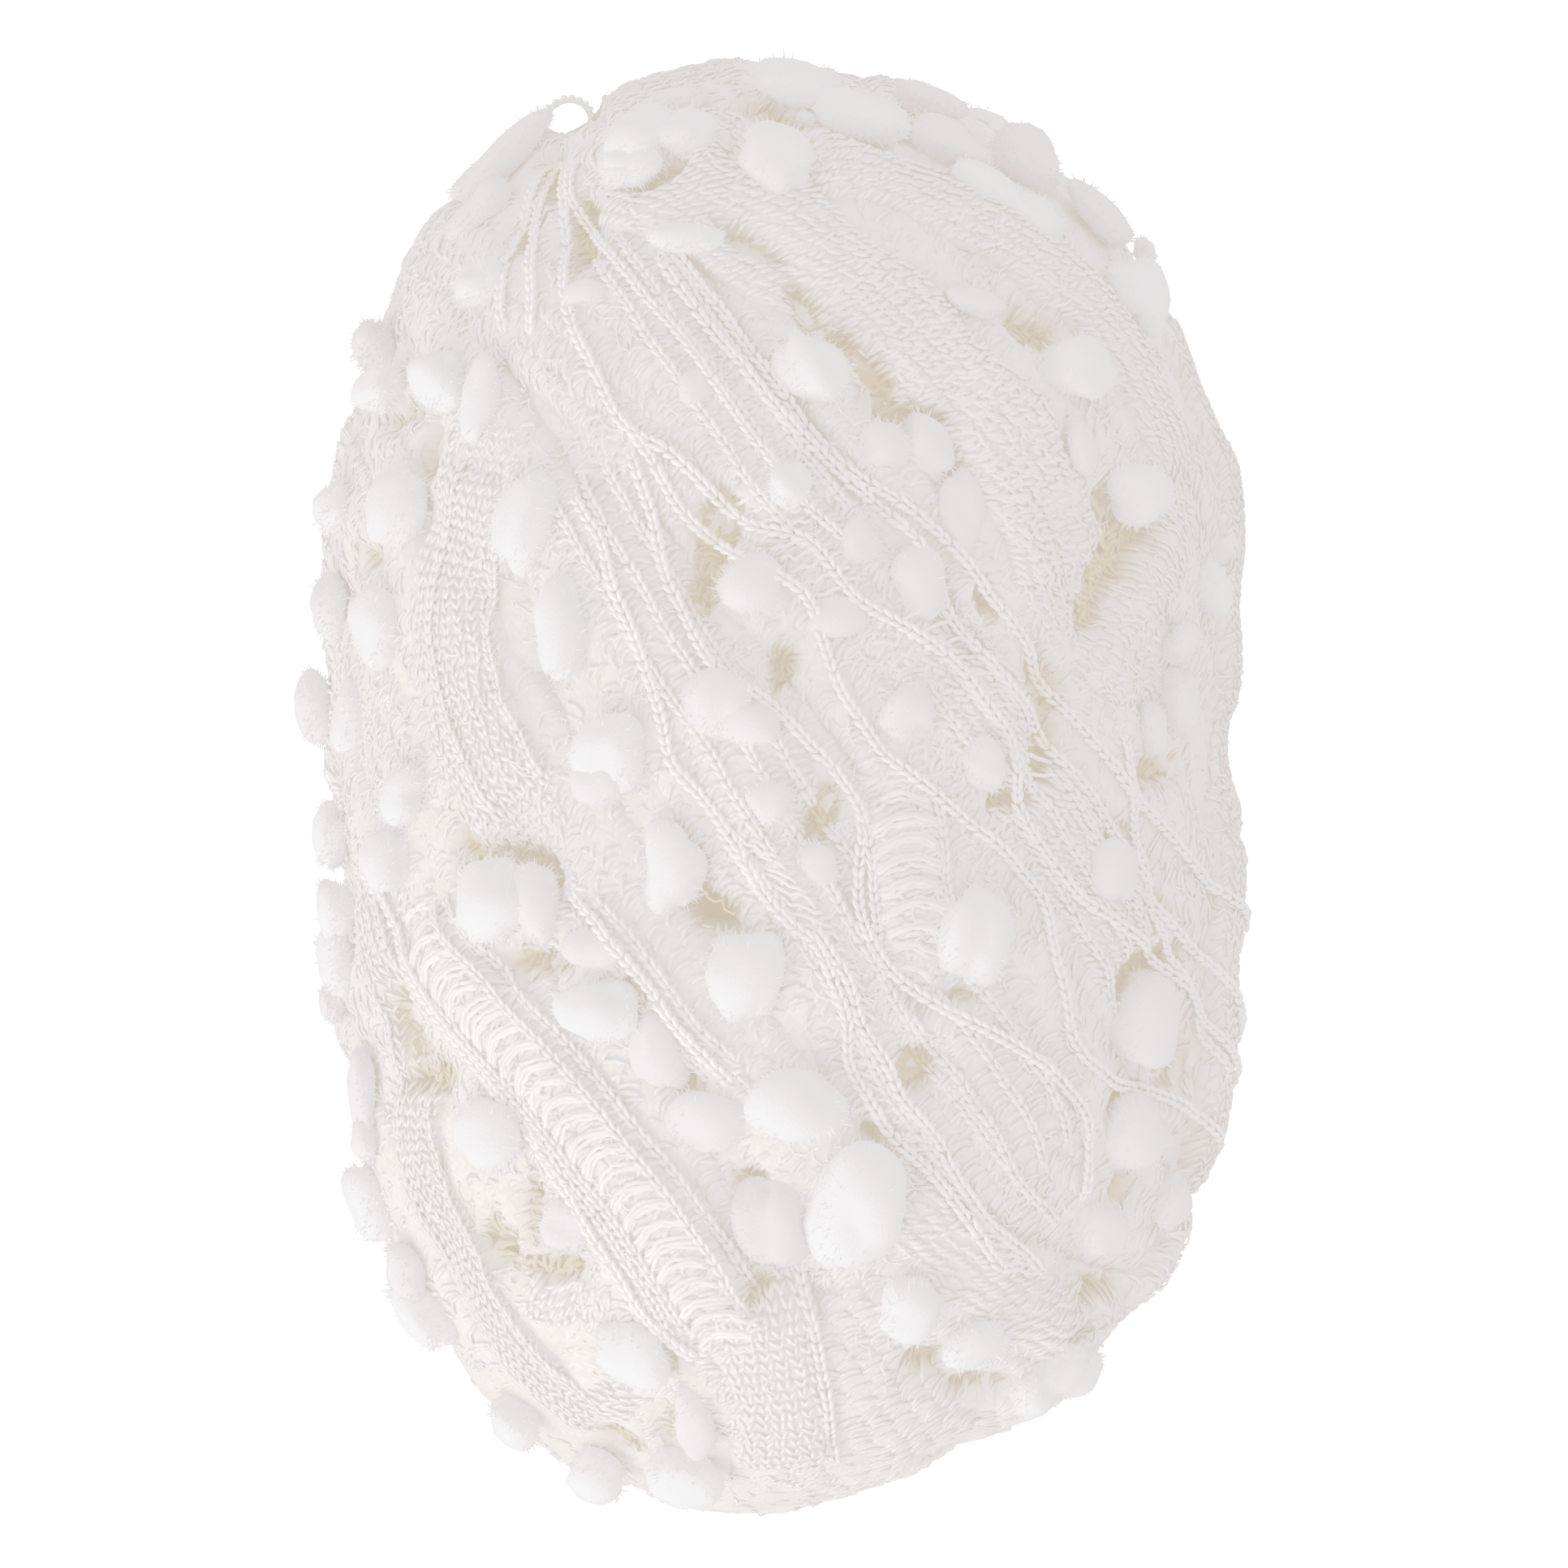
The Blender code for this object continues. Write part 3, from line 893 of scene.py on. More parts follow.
def tubes(
    rings: np.ndarray, tips: np.ndarray | None = None, closed: bool = False, uvs: np.ndarray | None = None
) -> MeshData:
    """Many tubes of one make as one mesh, closed on themselves or with a fan over each end.

    Args:
        rings: an (m, n, k, 3) array, k points round each of the n rings of m tubes.
        tips: an (m, 2, 3) array of the points where each tube's end fans meet, if they have one.
        closed: whether each tube's last ring meets its first.
        uvs: a UV for each vertex, tips last; without it, the vertex's (x, y) in millimetres.

    Returns:
        The mesh, its faces pointing out.
    """
    many, count, sides = rings.shape[:3]
    verts = rings.reshape(many, -1, 3)
    if tips is not None:
        verts = np.concatenate([verts, tips], axis=1)
    index = (np.arange(many) * verts.shape[1])[:, None] + np.arange(count * sides)
    index = index.reshape(many, count, sides)
    near, far = (index, np.roll(index, -1, 1)) if closed else (index[:, :-1], index[:, 1:])
    quads = np.stack([near, far, np.roll(far, -1, 2), np.roll(near, -1, 2)], axis=-1).reshape(-1, 4)
    first, last = index[:, 0], index[:, -1]
    fans = []
    if tips is not None:
        tip = last[:, -1:] + 1 + np.zeros(sides, int)
        fans = [(first, np.roll(first, -1, 1), tip), (np.roll(last, -1, 1), last, tip + 1)]
    elif not closed:
        fan = np.arange(1, sides - 1)
        fans = [(end[:, :1] + 0 * fan, end[:, fan + a], end[:, fan + b]) for end, a, b in
                ((first, 0, 1), (last, 1, 0))]
    fans = [np.stack(corners, axis=-1).reshape(-1, 3) for corners in fans]
    tris = np.concatenate([np.zeros((0, 3), int), *fans])
    verts = np.maximum(verts.reshape(-1, 3), (-np.inf, -np.inf, FLOOR_GAP))
    return MeshData(verts, quads, tris, verts[:, :2] / MM if uvs is None else uvs)


def rings_round(
    paths: np.ndarray, ahead: np.ndarray, across: np.ndarray, radius: np.ndarray, press: float,
    turn: np.ndarray
) -> np.ndarray:
    """Rings round the points of paths: one axis lies across the path, and the other stands on both.

    Args:
        paths: an (m, n, 3) array of m paths of n points.
        ahead: unit vectors along the paths.
        across: unit vectors across them.
        radius: an array that broadcasts to (m, n).
        press: height of a ring as a share of its width, for threads pressed flat.
        turn: the angles of the k points of a ring.

    Returns:
        An (m, n, k, 3) array.
    """
    up = press * np.cross(across, ahead)
    spokes = across[..., None, :] * np.cos(turn)[:, None] + up[..., None, :] * np.sin(turn)[:, None]
    return paths[..., None, :] + spokes * np.broadcast_to(radius, paths.shape[:2])[..., None, None]


def threads(
    paths: np.ndarray, outward: np.ndarray, radius: np.ndarray, sides: int = 4, press: float = 1.0
) -> MeshData:
    """Many thin threads of one count of points, as one mesh of tubes with flat ends.

    A flat of each ring faces outwards. Their UVs are (turns round the thread, millimetres along).

    Args:
        paths: an (m, n, 3) array of m threads of n points.
        outward: an array that broadcasts to paths, the ball's outward direction there.
        radius: an array that broadcasts to (m, n).
        sides: how many sides each tube has.
        press: height of a tube as a share of its width.

    Returns:
        The mesh.
    """
    ahead = unit(np.gradient(paths, axis=1))
    outward = np.broadcast_to(outward, paths.shape)
    across = np.cross(ahead, outward)
    upright = np.linalg.norm(across, axis=-1, keepdims=True) < 0.15
    across = unit(np.where(upright, np.cross(ahead, outward[..., [1, 2, 0]]), across))
    turn = (np.arange(sides) + 0.25 * sides - 0.5) * (FULL_TURN / sides)
    run = np.cumsum(np.linalg.norm(np.diff(paths, axis=1, prepend=paths[:, :1]), axis=-1), axis=1)
    uvs = np.stack(np.broadcast_arrays(turn / FULL_TURN, run[..., None] / MM), axis=-1).reshape(-1, 2)
    return tubes(rings_round(paths, ahead, across, radius, press, turn), uvs=uvs)


def spindles(
    paths: np.ndarray, outward: np.ndarray, radius: np.ndarray, press: float, sides: int = 3
) -> MeshData:
    """Many short threads as tubes of a few sides whose first and last points are their tips.

    Args:
        paths: an (m, n, 3) array of m threads of n points.
        outward: an array that broadcasts to paths, the ball's outward direction there.
        radius: an array that broadcasts to (m, n - 2).
        press: height of a tube as a share of its width.
        sides: how many sides each tube has.

    Returns:
        The mesh.
    """
    ahead = unit(paths[:, 2:] - paths[:, :-2])
    across = unit(np.cross(ahead, np.broadcast_to(outward, paths.shape)[:, 1:-1]))
    turn = math.radians(30.0) + np.arange(sides) * (FULL_TURN / sides)
    return tubes(rings_round(paths[:, 1:-1], ahead, across, radius, press, turn), paths[:, [0, -1]])


@dataclass
class ChainCord:
    """A cord of chain stitches: a row of overlapping loops, each seen as two petals that meet in a V.

    Args:
        spread: how far a petal bows to its side.
        pitch: length of a stitch along the cord.
        thread: radius of a petal.
        step: spacing of the places of its line.
        sides: sides of a petal.
        sway: how unevenly it lies.
        overlap: the least and greatest length of a petal, in stitches.
        swell: a petal's radius at its inner points, as shares of the usual one.
        fuzz: radius of a stray fibre.
    """

    spread: float = 0.72 * MM
    pitch: float = 1.45 * MM
    thread: float = 0.42 * MM
    step: float = 0.7 * MM
    sides: int = 4
    sway: float = 0.08 * MM
    overlap: tuple = (1.35, 1.65)
    swell: tuple = (0.85, 1.1, 1.0, 0.6)
    fuzz: float = 0.11 * MM

    def stitches(self, route: Route, lift: np.ndarray, offset: float = 0.0) -> MeshData:
        """The petals and stray fibres of a cord along a route whose places are a step apart.

        With t from 0 to 1 along a petal, it lies to its side by the spread times (1 - t)**0.8, so a
        stitch is wide where it starts and closes at its end, and it rises over the next stitch's
        start by a share of its thickness times sin(pi t).

        Args:
            route: the cord's line, a step between places.
            lift: height of the cord's middle over the plain ball at each place.
            offset: how far the cord lies to the side of the route.

        Returns:
            The mesh.
        """
        chance = np.random.default_rng(len(route.around))
        at = np.arange(len(route.around)) * route.step
        beats = chance.uniform(0.0, FULL_TURN, 3)
        sway = self.sway * (np.sin(at / (1.9 * MM) + beats[0]) + np.sin(at / (3.7 * MM) + beats[1]))
        around, along = (place[:, 0] for place in route.beside((offset + sway)[:, None]))
        middle = route.form.lifted(around, along, lift)
        ahead = unit(np.gradient(middle, axis=0))
        across = unit(np.cross(ahead, route.form.normal(around, along)))
        normal = np.cross(across, ahead)
        count = max(2, int(at[-1] / self.pitch) - 1)
        t = np.linspace(0.0, 1.0, 6)[None, :]
        start = (np.arange(count) * self.pitch + chance.normal(0.0, 0.07 * MM, count))[:, None]
        spot = start + t * self.pitch * chance.uniform(*self.overlap, (count, 1))
        spot = np.clip(spot, 0.0, at[-1] * 0.9999)
        place = np.minimum((spot / route.step).astype(int), len(at) - 2)
        share = (spot / route.step - place)[..., None]
        line, out, side = (
            part[place] * (1.0 - share) + part[place + 1] * share for part in (middle, normal, across)
        )
        ends = np.clip(np.minimum(spot, at[-1] - spot) / (2.0 * MM), 0.0, 1.0)
        paths = []
        for hand in (-1.0, 1.0):
            wide = hand * self.spread * (1.0 - t) ** 0.8 * chance.uniform(0.8, 1.2, (count, 1))
            rise = self.thread * (1.1 * np.sin(math.pi * t) - 0.2 + chance.normal(0.0, 0.15, (count, 1)))
            paths.append(line + side * wide[..., None] + out * rise[..., None])
        thick = np.array(self.swell) * self.thread * (0.5 + 0.5 * ends[:, 1:-1])
        thick = np.tile(thick * chance.uniform(0.85, 1.15, (count, 1)), (2, 1))
        petals = spindles(np.concatenate(paths), np.tile(out, (2, 1, 1)), thick, press=0.85, sides=self.sides)
        return joined([petals, self._fuzz(middle, across, ahead, normal, chance)])

    def _fuzz(
        self, middle: np.ndarray, across: np.ndarray, ahead: np.ndarray, normal: np.ndarray,
        chance: np.random.Generator
    ) -> MeshData:
        """Stray fibres that start in the cord and curve out of it, mostly to its sides.

        Args:
            middle: the cord's places.
            across: unit vectors across it there.
            ahead: unit vectors along it.
            normal: unit vectors out of the ball.
            chance: the source of random draws.

        Returns:
            The mesh.
        """
        count = len(middle) // 3
        spot = chance.integers(1, len(middle) - 1, count)
        side = np.sign(chance.normal(size=(count, 1))) * across[spot]
        reach = chance.uniform(0.6, 1.6, (count, 1)) * MM
        along = ahead[spot] * chance.normal(0.0, 0.8, (count, 1))
        knee = middle[spot] + side * 0.55 * reach + (along * 0.5 + normal[spot] * 0.25) * reach
        tip = middle[spot] + side * reach + (along * 1.3 - normal[spot] * 0.15) * reach
        paths = np.stack([middle[spot], 0.5 * (middle[spot] + knee), knee, tip], axis=1)
        return spindles(paths, normal[spot][:, None, :], self.fuzz, press=1.0)


def resting_lift(route: Route, cover: YarnCover, stand: float, bridge: float) -> np.ndarray:
    """Height of something stiff laid along a route: it spans dips rather than following them.

    It is the cover's height averaged along the route, pulled up to the highest part nearby.

    Args:
        route: the line that it lies on.
        cover: what it lies on.
        stand: how far its middle stands over the cover.
        bridge: length over which it averages.

    Returns:
        A height for each place of the route.
    """
    raw = cover.read(route.around, route.along)
    reach = max(1, round(bridge / route.step))
    windows = np.lib.stride_tricks.sliding_window_view(np.pad(raw, reach, mode="edge"), 2 * reach + 1)
    bell = np.exp(-((np.arange(-reach, reach + 1) / (0.6 * reach)) ** 2))
    average = (windows * bell).sum(axis=1) / bell.sum()
    high = np.quantile(windows, 0.8, axis=1)
    level = np.maximum(average, 0.5 * (average + high))
    return np.maximum(level, raw - 0.2 * MM) + stand


@dataclass(frozen=True)
class TapeSpec:
    """A front turn of tape: its route in photograph pixels and its sizes in millimetres.

    columns are the places of corded columns on it, from -1 to 1 across, and ribs is the pair of
    such places that threads cross between.
    """

    name: str
    width: float
    thickness: float
    route: tuple
    knit: Knit = Knit.ROWS
    columns: tuple = ()
    ribs: tuple = ()


@dataclass(frozen=True)
class CordSpec:
    """A chain cord over the front: its name, its route in photograph pixels and its share of size."""

    name: str
    route: tuple
    size: float = 1.0


@dataclass(frozen=True)
class NetSpec:
    """Threads that cross between two lines of photograph pixels, with their spacing in millimetres."""

    first: tuple
    second: tuple
    pitch: float


class Seat(Enum):
    """How far a pompom's middle stands over the turns, as a share of its width.

    It sits on top of them, half sunk between them, deep under the net, or just above them with the darkest
    pile of painted shade, most of these at the far edge.
    """

    TOP = 0.16
    MID = 0.04
    DEEP = -0.1
    # Pompoms of this seat take the darkest pile: painted shade
    EDGE = 0.03


@dataclass(frozen=True)
class PompomSpec:
    """A pompom: its middle in photograph pixels, its size in millimetres, its heading and seat."""

    across: float
    down: float
    length: float
    width: float
    heading: float
    seat: Seat


TOP, MID, DEEP, EDGE = Seat.TOP, Seat.MID, Seat.DEEP, Seat.EDGE

POMPOMS = tuple(PompomSpec(*row) for row in (
    (622, 192, 17, 6, 48, EDGE), (592, 253, 11, 5, 30, EDGE), (588, 350, 7.5, 7, 0, TOP),
    (722, 362, 6.5, 4, 0, DEEP), (460, 422, 7, 7, 0, EDGE), (467, 480, 7.4, 6.5, 0, TOP),
    (542, 470, 9, 8.5, 90, TOP), (595, 490, 13, 4.8, 90, TOP), (413, 625, 7, 6.5, 0, TOP),
    (492, 617, 12, 8.5, 65, TOP), (640, 643, 13, 8, 65, TOP), (845, 293, 9.8, 4.6, -5, TOP),
    (770, 214, 6.8, 4.2, 0, TOP), (830, 124, 9, 4.4, 5, MID), (860, 478, 6, 5, 0, DEEP),
    (930, 602, 6, 3, 0, DEEP), (985, 104, 13, 6.8, 0, TOP), (993, 145, 2, 2, 0, MID),
    (955, 200, 11.8, 9, -50, TOP), (1068, 145, 11.8, 6.8, -10, TOP), (1142, 125, 10, 4.4, -5, EDGE),
    (1170, 178, 11.8, 6.8, -15, EDGE), (1265, 198, 10.5, 8.5, -30, EDGE), (1222, 230, 11, 5.5, -20, TOP),
    (1278, 264, 9, 5.6, -20, TOP), (1358, 268, 10.6, 5.6, -35, EDGE), (1410, 308, 3, 3, 0, MID),
    (1400, 365, 11.2, 9.5, -70, TOP), (1200, 373, 8, 4, -10, MID), (1328, 455, 10, 9.5, -60, TOP),
    (1331, 553, 8, 4.6, 90, MID), (1403, 610, 9.5, 8.5, 0, TOP), (1003, 455, 11.5, 8, -50, TOP),
    (973, 596, 6, 5.6, 90, TOP), (1085, 555, 8, 6.7, 0, DEEP), (1143, 552, 10, 7, -60, DEEP),
    (1185, 640, 12.5, 6.2, 90, DEEP),
    (1060, 672, 6.8, 5.6, 90, DEEP), (1130, 717, 10, 6.6, 90, MID), (1035, 763, 10.6, 5.6, 0, DEEP),
    (930, 725, 10, 7.8, 0, MID), (1493, 722, 8.5, 5.8, 90, TOP), (1455, 795, 5.6, 5.4, 0, MID),
    (1453, 860, 9, 6.8, 90, MID), (1420, 895, 8, 4.6, 90, MID), (1120, 877, 8.6, 8, 0, MID),
    (1215, 943, 7.2, 5.8, 90, MID), (406, 750, 8.4, 6.4, 90, MID), (466, 772, 10.6, 7.3, 90, TOP),
    (692, 778, 14.3, 8.2, 90, TOP), (392, 876, 9.5, 6.6, 0, MID), (430, 886, 10, 6, 90, TOP),
    (750, 925, 11.2, 8.8, 90, TOP), (735, 965, 8, 7, 0, MID), (885, 870, 9.5, 8.2, 0, MID),
    (925, 888, 9.5, 6.5, -25, MID), (950, 990, 6.6, 6.2, 0, MID), (498, 978, 8, 7, 90, TOP),
    (407, 1032, 9.2, 5.2, 90, TOP), (478, 1060, 8.2, 7.8, 90, TOP), (607, 1118, 11, 9.9, 90, TOP),
    (660, 1115, 10.8, 7, 90, MID), (832, 1073, 13, 8.4, 90, TOP), (737, 1170, 9.2, 6, 0, DEEP),
    (915, 1203, 11.8, 10.6, 90, TOP), (735, 1245, 12.3, 8.4, 0, TOP), (815, 1290, 12.3, 8, 90, DEEP),
    (415, 1126, 8.5, 6, 90, TOP), (415, 1187, 8.6, 6.6, 90, TOP), (410, 1235, 4.8, 4.4, 0, MID),
    (1010, 1065, 5.8, 5.6, 0, DEEP), (1366, 1077, 10.3, 7.7, 90, DEEP), (1197, 1152, 13, 9, 90, TOP),
    (1405, 1255, 13.4, 10.3, 90, DEEP), (447, 1337, 12.5, 4.6, 90, MID), (454, 1483, 11, 7.5, 90, TOP),
    (608, 1395, 9.9, 9.4, 0, TOP), (697, 1510, 8, 7.7, 0, DEEP), (875, 1385, 11, 8.8, 0, DEEP),
    (983, 1358, 11.7, 10.5, 0, TOP), (950, 1500, 12.5, 9.9, 90, EDGE), (1060, 1488, 16.5, 11.6, 80, TOP),
    (1395, 1392, 10.4, 10.3, 0, MID), (1352, 1512, 8.8, 7.5, 0, MID), (520, 1622, 12, 7.2, -25, TOP),
    (636, 1750, 7.7, 7, 0, TOP), (733, 1812, 7.5, 7.5, 0, TOP), (783, 1665, 10.6, 8.6, 0, TOP),
    (843, 1820, 9.5, 7.5, 0, TOP), (858, 1755, 12.3, 5.7, 90, MID), (1127, 1610, 8.6, 8.5, 0, TOP),
    (1205, 1655, 9, 6.5, 0, TOP), (1275, 1715, 8, 7, 30, TOP), (1325, 1685, 7.5, 6.5, 30, TOP),
    (790, 172, 10, 8, 20, TOP), (840, 165, 9, 7, -10, TOP), (775, 205, 8, 6, 0, TOP),
    (1300, 1690, 9, 7, 10, TOP),
    (452, 1402, 7, 5, 90, MID), (497, 1560, 8, 5, -50, MID), (1440, 1480, 7, 6, 60, MID),
))

TAPES = (
    TapeSpec("under_net", 15, 1.6, ((730, 270), (820, 400), (890, 500), (960, 600), (1040, 690)),
        Knit.LADDER, (-0.7, -0.2, 0.35)),
    TapeSpec("middle_net", 15, 1.5, ((690, 560), (760, 680), (830, 800), (900, 900), (960, 1000),
        (1040, 1120)), Knit.LADDER, (-0.6, -0.1, 0.5)),
    TapeSpec("lower_net", 15, 1.5, ((900, 1010), (970, 1110), (1040, 1230), (1110, 1350), (1200, 1470),
        (1290, 1570)), Knit.LADDER, (-0.75, 0.15)),
    TapeSpec("inner_right", 15, 1.8, ((1150, 780), (1220, 880), (1290, 990), (1350, 1100), (1420, 1220)),
        Knit.ROWS, (-0.5, 0.1, 0.7)),
    TapeSpec("curl_bed", 16, 2.0, ((1120, 1190), (1190, 1270), (1250, 1360), (1300, 1460)), Knit.LADDER,
        (-0.6, 0, 0.6)),
    TapeSpec("bottom_fuzz", 17, 2.2, ((1000, 1560), (1060, 1660), (1110, 1740), (1150, 1800)),
        Knit.LADDER),
    TapeSpec("bottom_middle", 13.4, 2.4, ((925, 1545), (935, 1600), (948, 1660), (960, 1720), (968, 1780),
        (975, 1835)), Knit.STOCKING, (-0.92,)),
    TapeSpec("lower_right", 12, 2.2, ((1080, 1430), (1130, 1490), (1190, 1550), (1250, 1600),
        (1310, 1630), (1370, 1635)), Knit.ROWS),
    TapeSpec("ribbed_middle", 11, 2.6, ((1105, 940), (1110, 1000), (1120, 1080), (1125, 1150),
        (1118, 1220)), Knit.LADDER, (-0.9, 0.9), (-0.8, 0.8)),
    TapeSpec("collar", 18, 3.2, ((740, 195), (790, 215), (850, 242), (950, 292), (1050, 360), (1130, 430),
        (1200, 505), (1270, 592), (1318, 680), (1340, 760)), Knit.ROWS),
    TapeSpec("collar_low", 17, 0.9, ((1040, 352), (1130, 430), (1200, 505), (1270, 592), (1318, 680),
        (1340, 760)), Knit.BARS),
    TapeSpec("right_ribs", 13, 2.0, ((1460, 600), (1430, 680), (1400, 760), (1370, 830), (1345, 900)),
        Knit.CROSSED),
    TapeSpec("left", 15, 2.6, ((600, 530), (580, 620), (560, 720), (565, 830), (598, 930), (650, 1030)),
        Knit.STOCKING, (-0.85, 0.3)),
    TapeSpec("left_edge", 9, 1.8, ((425, 330), (418, 480), (408, 620), (402, 800), (402, 980),
        (415, 1100)), Knit.LADDER),
    TapeSpec("left_lower", 9, 2.2, ((440, 1050), (455, 1120), (480, 1220), (497, 1320), (515, 1450),
        (560, 1560), (620, 1650), (700, 1740), (780, 1800)), Knit.STOCKING, (-0.75, 0.75)),
    TapeSpec("big_ribs", 13.4, 3.0, ((495, 1120), (560, 1205), (640, 1295), (720, 1390), (790, 1480),
        (850, 1570), (900, 1660)), Knit.LADDER, (-0.95, -0.62, 0.6, 0.92), (-0.6, 0.58)),
    TapeSpec("small_lower", 6, 1.6, ((690, 1090), (740, 1140), (790, 1200), (840, 1270), (915, 1350)),
        Knit.ROWS, (-0.7, 0.7)),
    TapeSpec("bottom_lump", 7, 2.2, ((600, 1570), (640, 1605), (690, 1615), (745, 1600)), Knit.ROWS),
    TapeSpec("foot_lump", 9, 2.0, ((690, 1680), (765, 1745), (830, 1775)), Knit.ROWS),
    TapeSpec("shoulder", 12, 2.4, ((960, 190), (1030, 202), (1130, 232), (1230, 282), (1320, 352),
        (1385, 432), (1432, 530), (1455, 640)), Knit.ROWS),
    TapeSpec("right_corner", 9, 4.0, ((1455, 1440), (1430, 1530), (1385, 1600), (1320, 1650)),
        Knit.LADDER),
    TapeSpec("right_edge", 9, 4.0, ((1452, 330), (1478, 440), (1494, 560), (1510, 700), (1512, 850),
        (1508, 1000), (1500, 1150), (1493, 1300), (1474, 1420), (1440, 1510)), Knit.STOCKING),
    TapeSpec("crown_fuzz", 9, 2.4, ((700, 165), (750, 182), (800, 182), (860, 168), (920, 142)),
        Knit.LADDER),
    TapeSpec("left_knot", 8, 2.6, ((532, 285), (510, 335), (492, 395)), Knit.CROSSED),
)

CORDS = (
    CordSpec("long_outer", ((805, 305), (850, 375), (905, 440), (945, 490), (985, 535), (1030, 575),
        (1075, 615), (1115, 650), (1140, 690), (1165, 740), (1200, 795), (1245, 850), (1290, 905),
        (1330, 960), (1375, 1020), (1410, 1075), (1445, 1140), (1480, 1190), (1500, 1250), (1505, 1370))),
    CordSpec("long_inner", ((820, 300), (890, 385), (960, 480), (1020, 553), (1062, 588), (1112, 620),
        (1152, 652), (1202, 707), (1252, 777), (1302, 850), (1352, 915), (1402, 985), (1452, 1050),
        (1500, 1120), (1528, 1190))),
    CordSpec("net_left", ((676, 172), (686, 205), (690, 240), (690, 290), (705, 390), (745, 475),
        (775, 530), (830, 560), (880, 610), (930, 650), (1000, 670), (1050, 735), (1090, 760),
        (1160, 805), (1185, 830), (1210, 870), (1235, 905), (1245, 950), (1255, 1000), (1275, 1040),
        (1310, 1090), (1340, 1120), (1410, 1165), (1440, 1195), (1465, 1230), (1490, 1330))),
    CordSpec("net_low", ((755, 500), (800, 560), (850, 640), (915, 690), (975, 720), (1000, 745),
        (1015, 800), (1035, 850), (1060, 890), (1085, 925), (1110, 945), (1180, 1005), (1230, 1045),
        (1260, 1080), (1285, 1120), (1305, 1210), (1325, 1290), (1380, 1335), (1450, 1355), (1480, 1400))),
    CordSpec("middle", ((770, 540), (800, 620), (815, 690), (840, 750), (860, 790), (890, 830),
        (940, 860), (975, 890), (1000, 920), (1030, 950), (1060, 1000), (1060, 1060), (1058, 1120),
        (1075, 1165), (1100, 1200), (1140, 1230), (1250, 1290), (1300, 1330), (1335, 1370), (1340, 1430),
        (1325, 1500))),
    CordSpec("double_first", ((880, 1010), (940, 1100), (975, 1140), (1010, 1170), (1040, 1250),
        (1045, 1310), (1080, 1370), (1110, 1410), (1150, 1450), (1180, 1490), (1215, 1540), (1240, 1570))),
    CordSpec("double_second", ((985, 1120), (1040, 1200), (1060, 1260), (1090, 1310), (1110, 1350),
        (1150, 1400), (1170, 1440), (1210, 1500), (1260, 1540), (1295, 1580))),
    CordSpec("net_inner", ((700, 600), (740, 660), (760, 720), (790, 800), (815, 880), (830, 940),
        (870, 990), (900, 1030), (930, 1080), (960, 1120))),
    CordSpec("top_first", ((672, 172), (655, 200), (645, 225), (632, 280), (625, 330), (622, 380),
        (620, 430))),
    CordSpec("top_second", ((690, 172), (668, 190), (658, 215), (652, 260), (655, 320), (660, 360),
        (655, 405), (640, 430))),
    CordSpec("ribs_edge", ((440, 1050), (470, 1100), (500, 1160), (560, 1260), (620, 1340), (680, 1430),
        (740, 1530), (790, 1610), (850, 1665), (895, 1670))),
    CordSpec("small_edge", ((690, 1090), (740, 1140), (790, 1200), (840, 1270), (880, 1315), (915, 1350))),
    CordSpec("upper_join", ((715, 175), (700, 215), (705, 250), (740, 300), (800, 370), (850, 430),
        (900, 500), (945, 560), (990, 620), (1045, 670)), size=0.85),
    CordSpec("right_outer", ((1380, 880), (1395, 960), (1400, 1020), (1420, 1090), (1440, 1160),
        (1470, 1240), (1492, 1300), (1500, 1360)), size=0.85),
)

LOOP = ((668, 172), (664, 150), (676, 134), (700, 122), (722, 130), (730, 148), (722, 170))

NETS = (
    NetSpec(((905, 620), (950, 680), (1000, 735)), ((960, 600), (1010, 650), (1060, 715)), 2.0),
    NetSpec(((890, 1020), (950, 1110), (1010, 1190), (1045, 1300), (1110, 1400)), ((960, 1060),
        (1030, 1150), (1070, 1230), (1100, 1320), (1160, 1400)), 2.1),
    NetSpec(((1110, 1400), (1160, 1470), (1230, 1560)), ((1160, 1400), (1215, 1490), (1295, 1575)), 2.1),
    NetSpec(((1100, 770), (1190, 850), (1250, 950)), ((1160, 740), (1245, 850), (1330, 960)), 2.6),
)

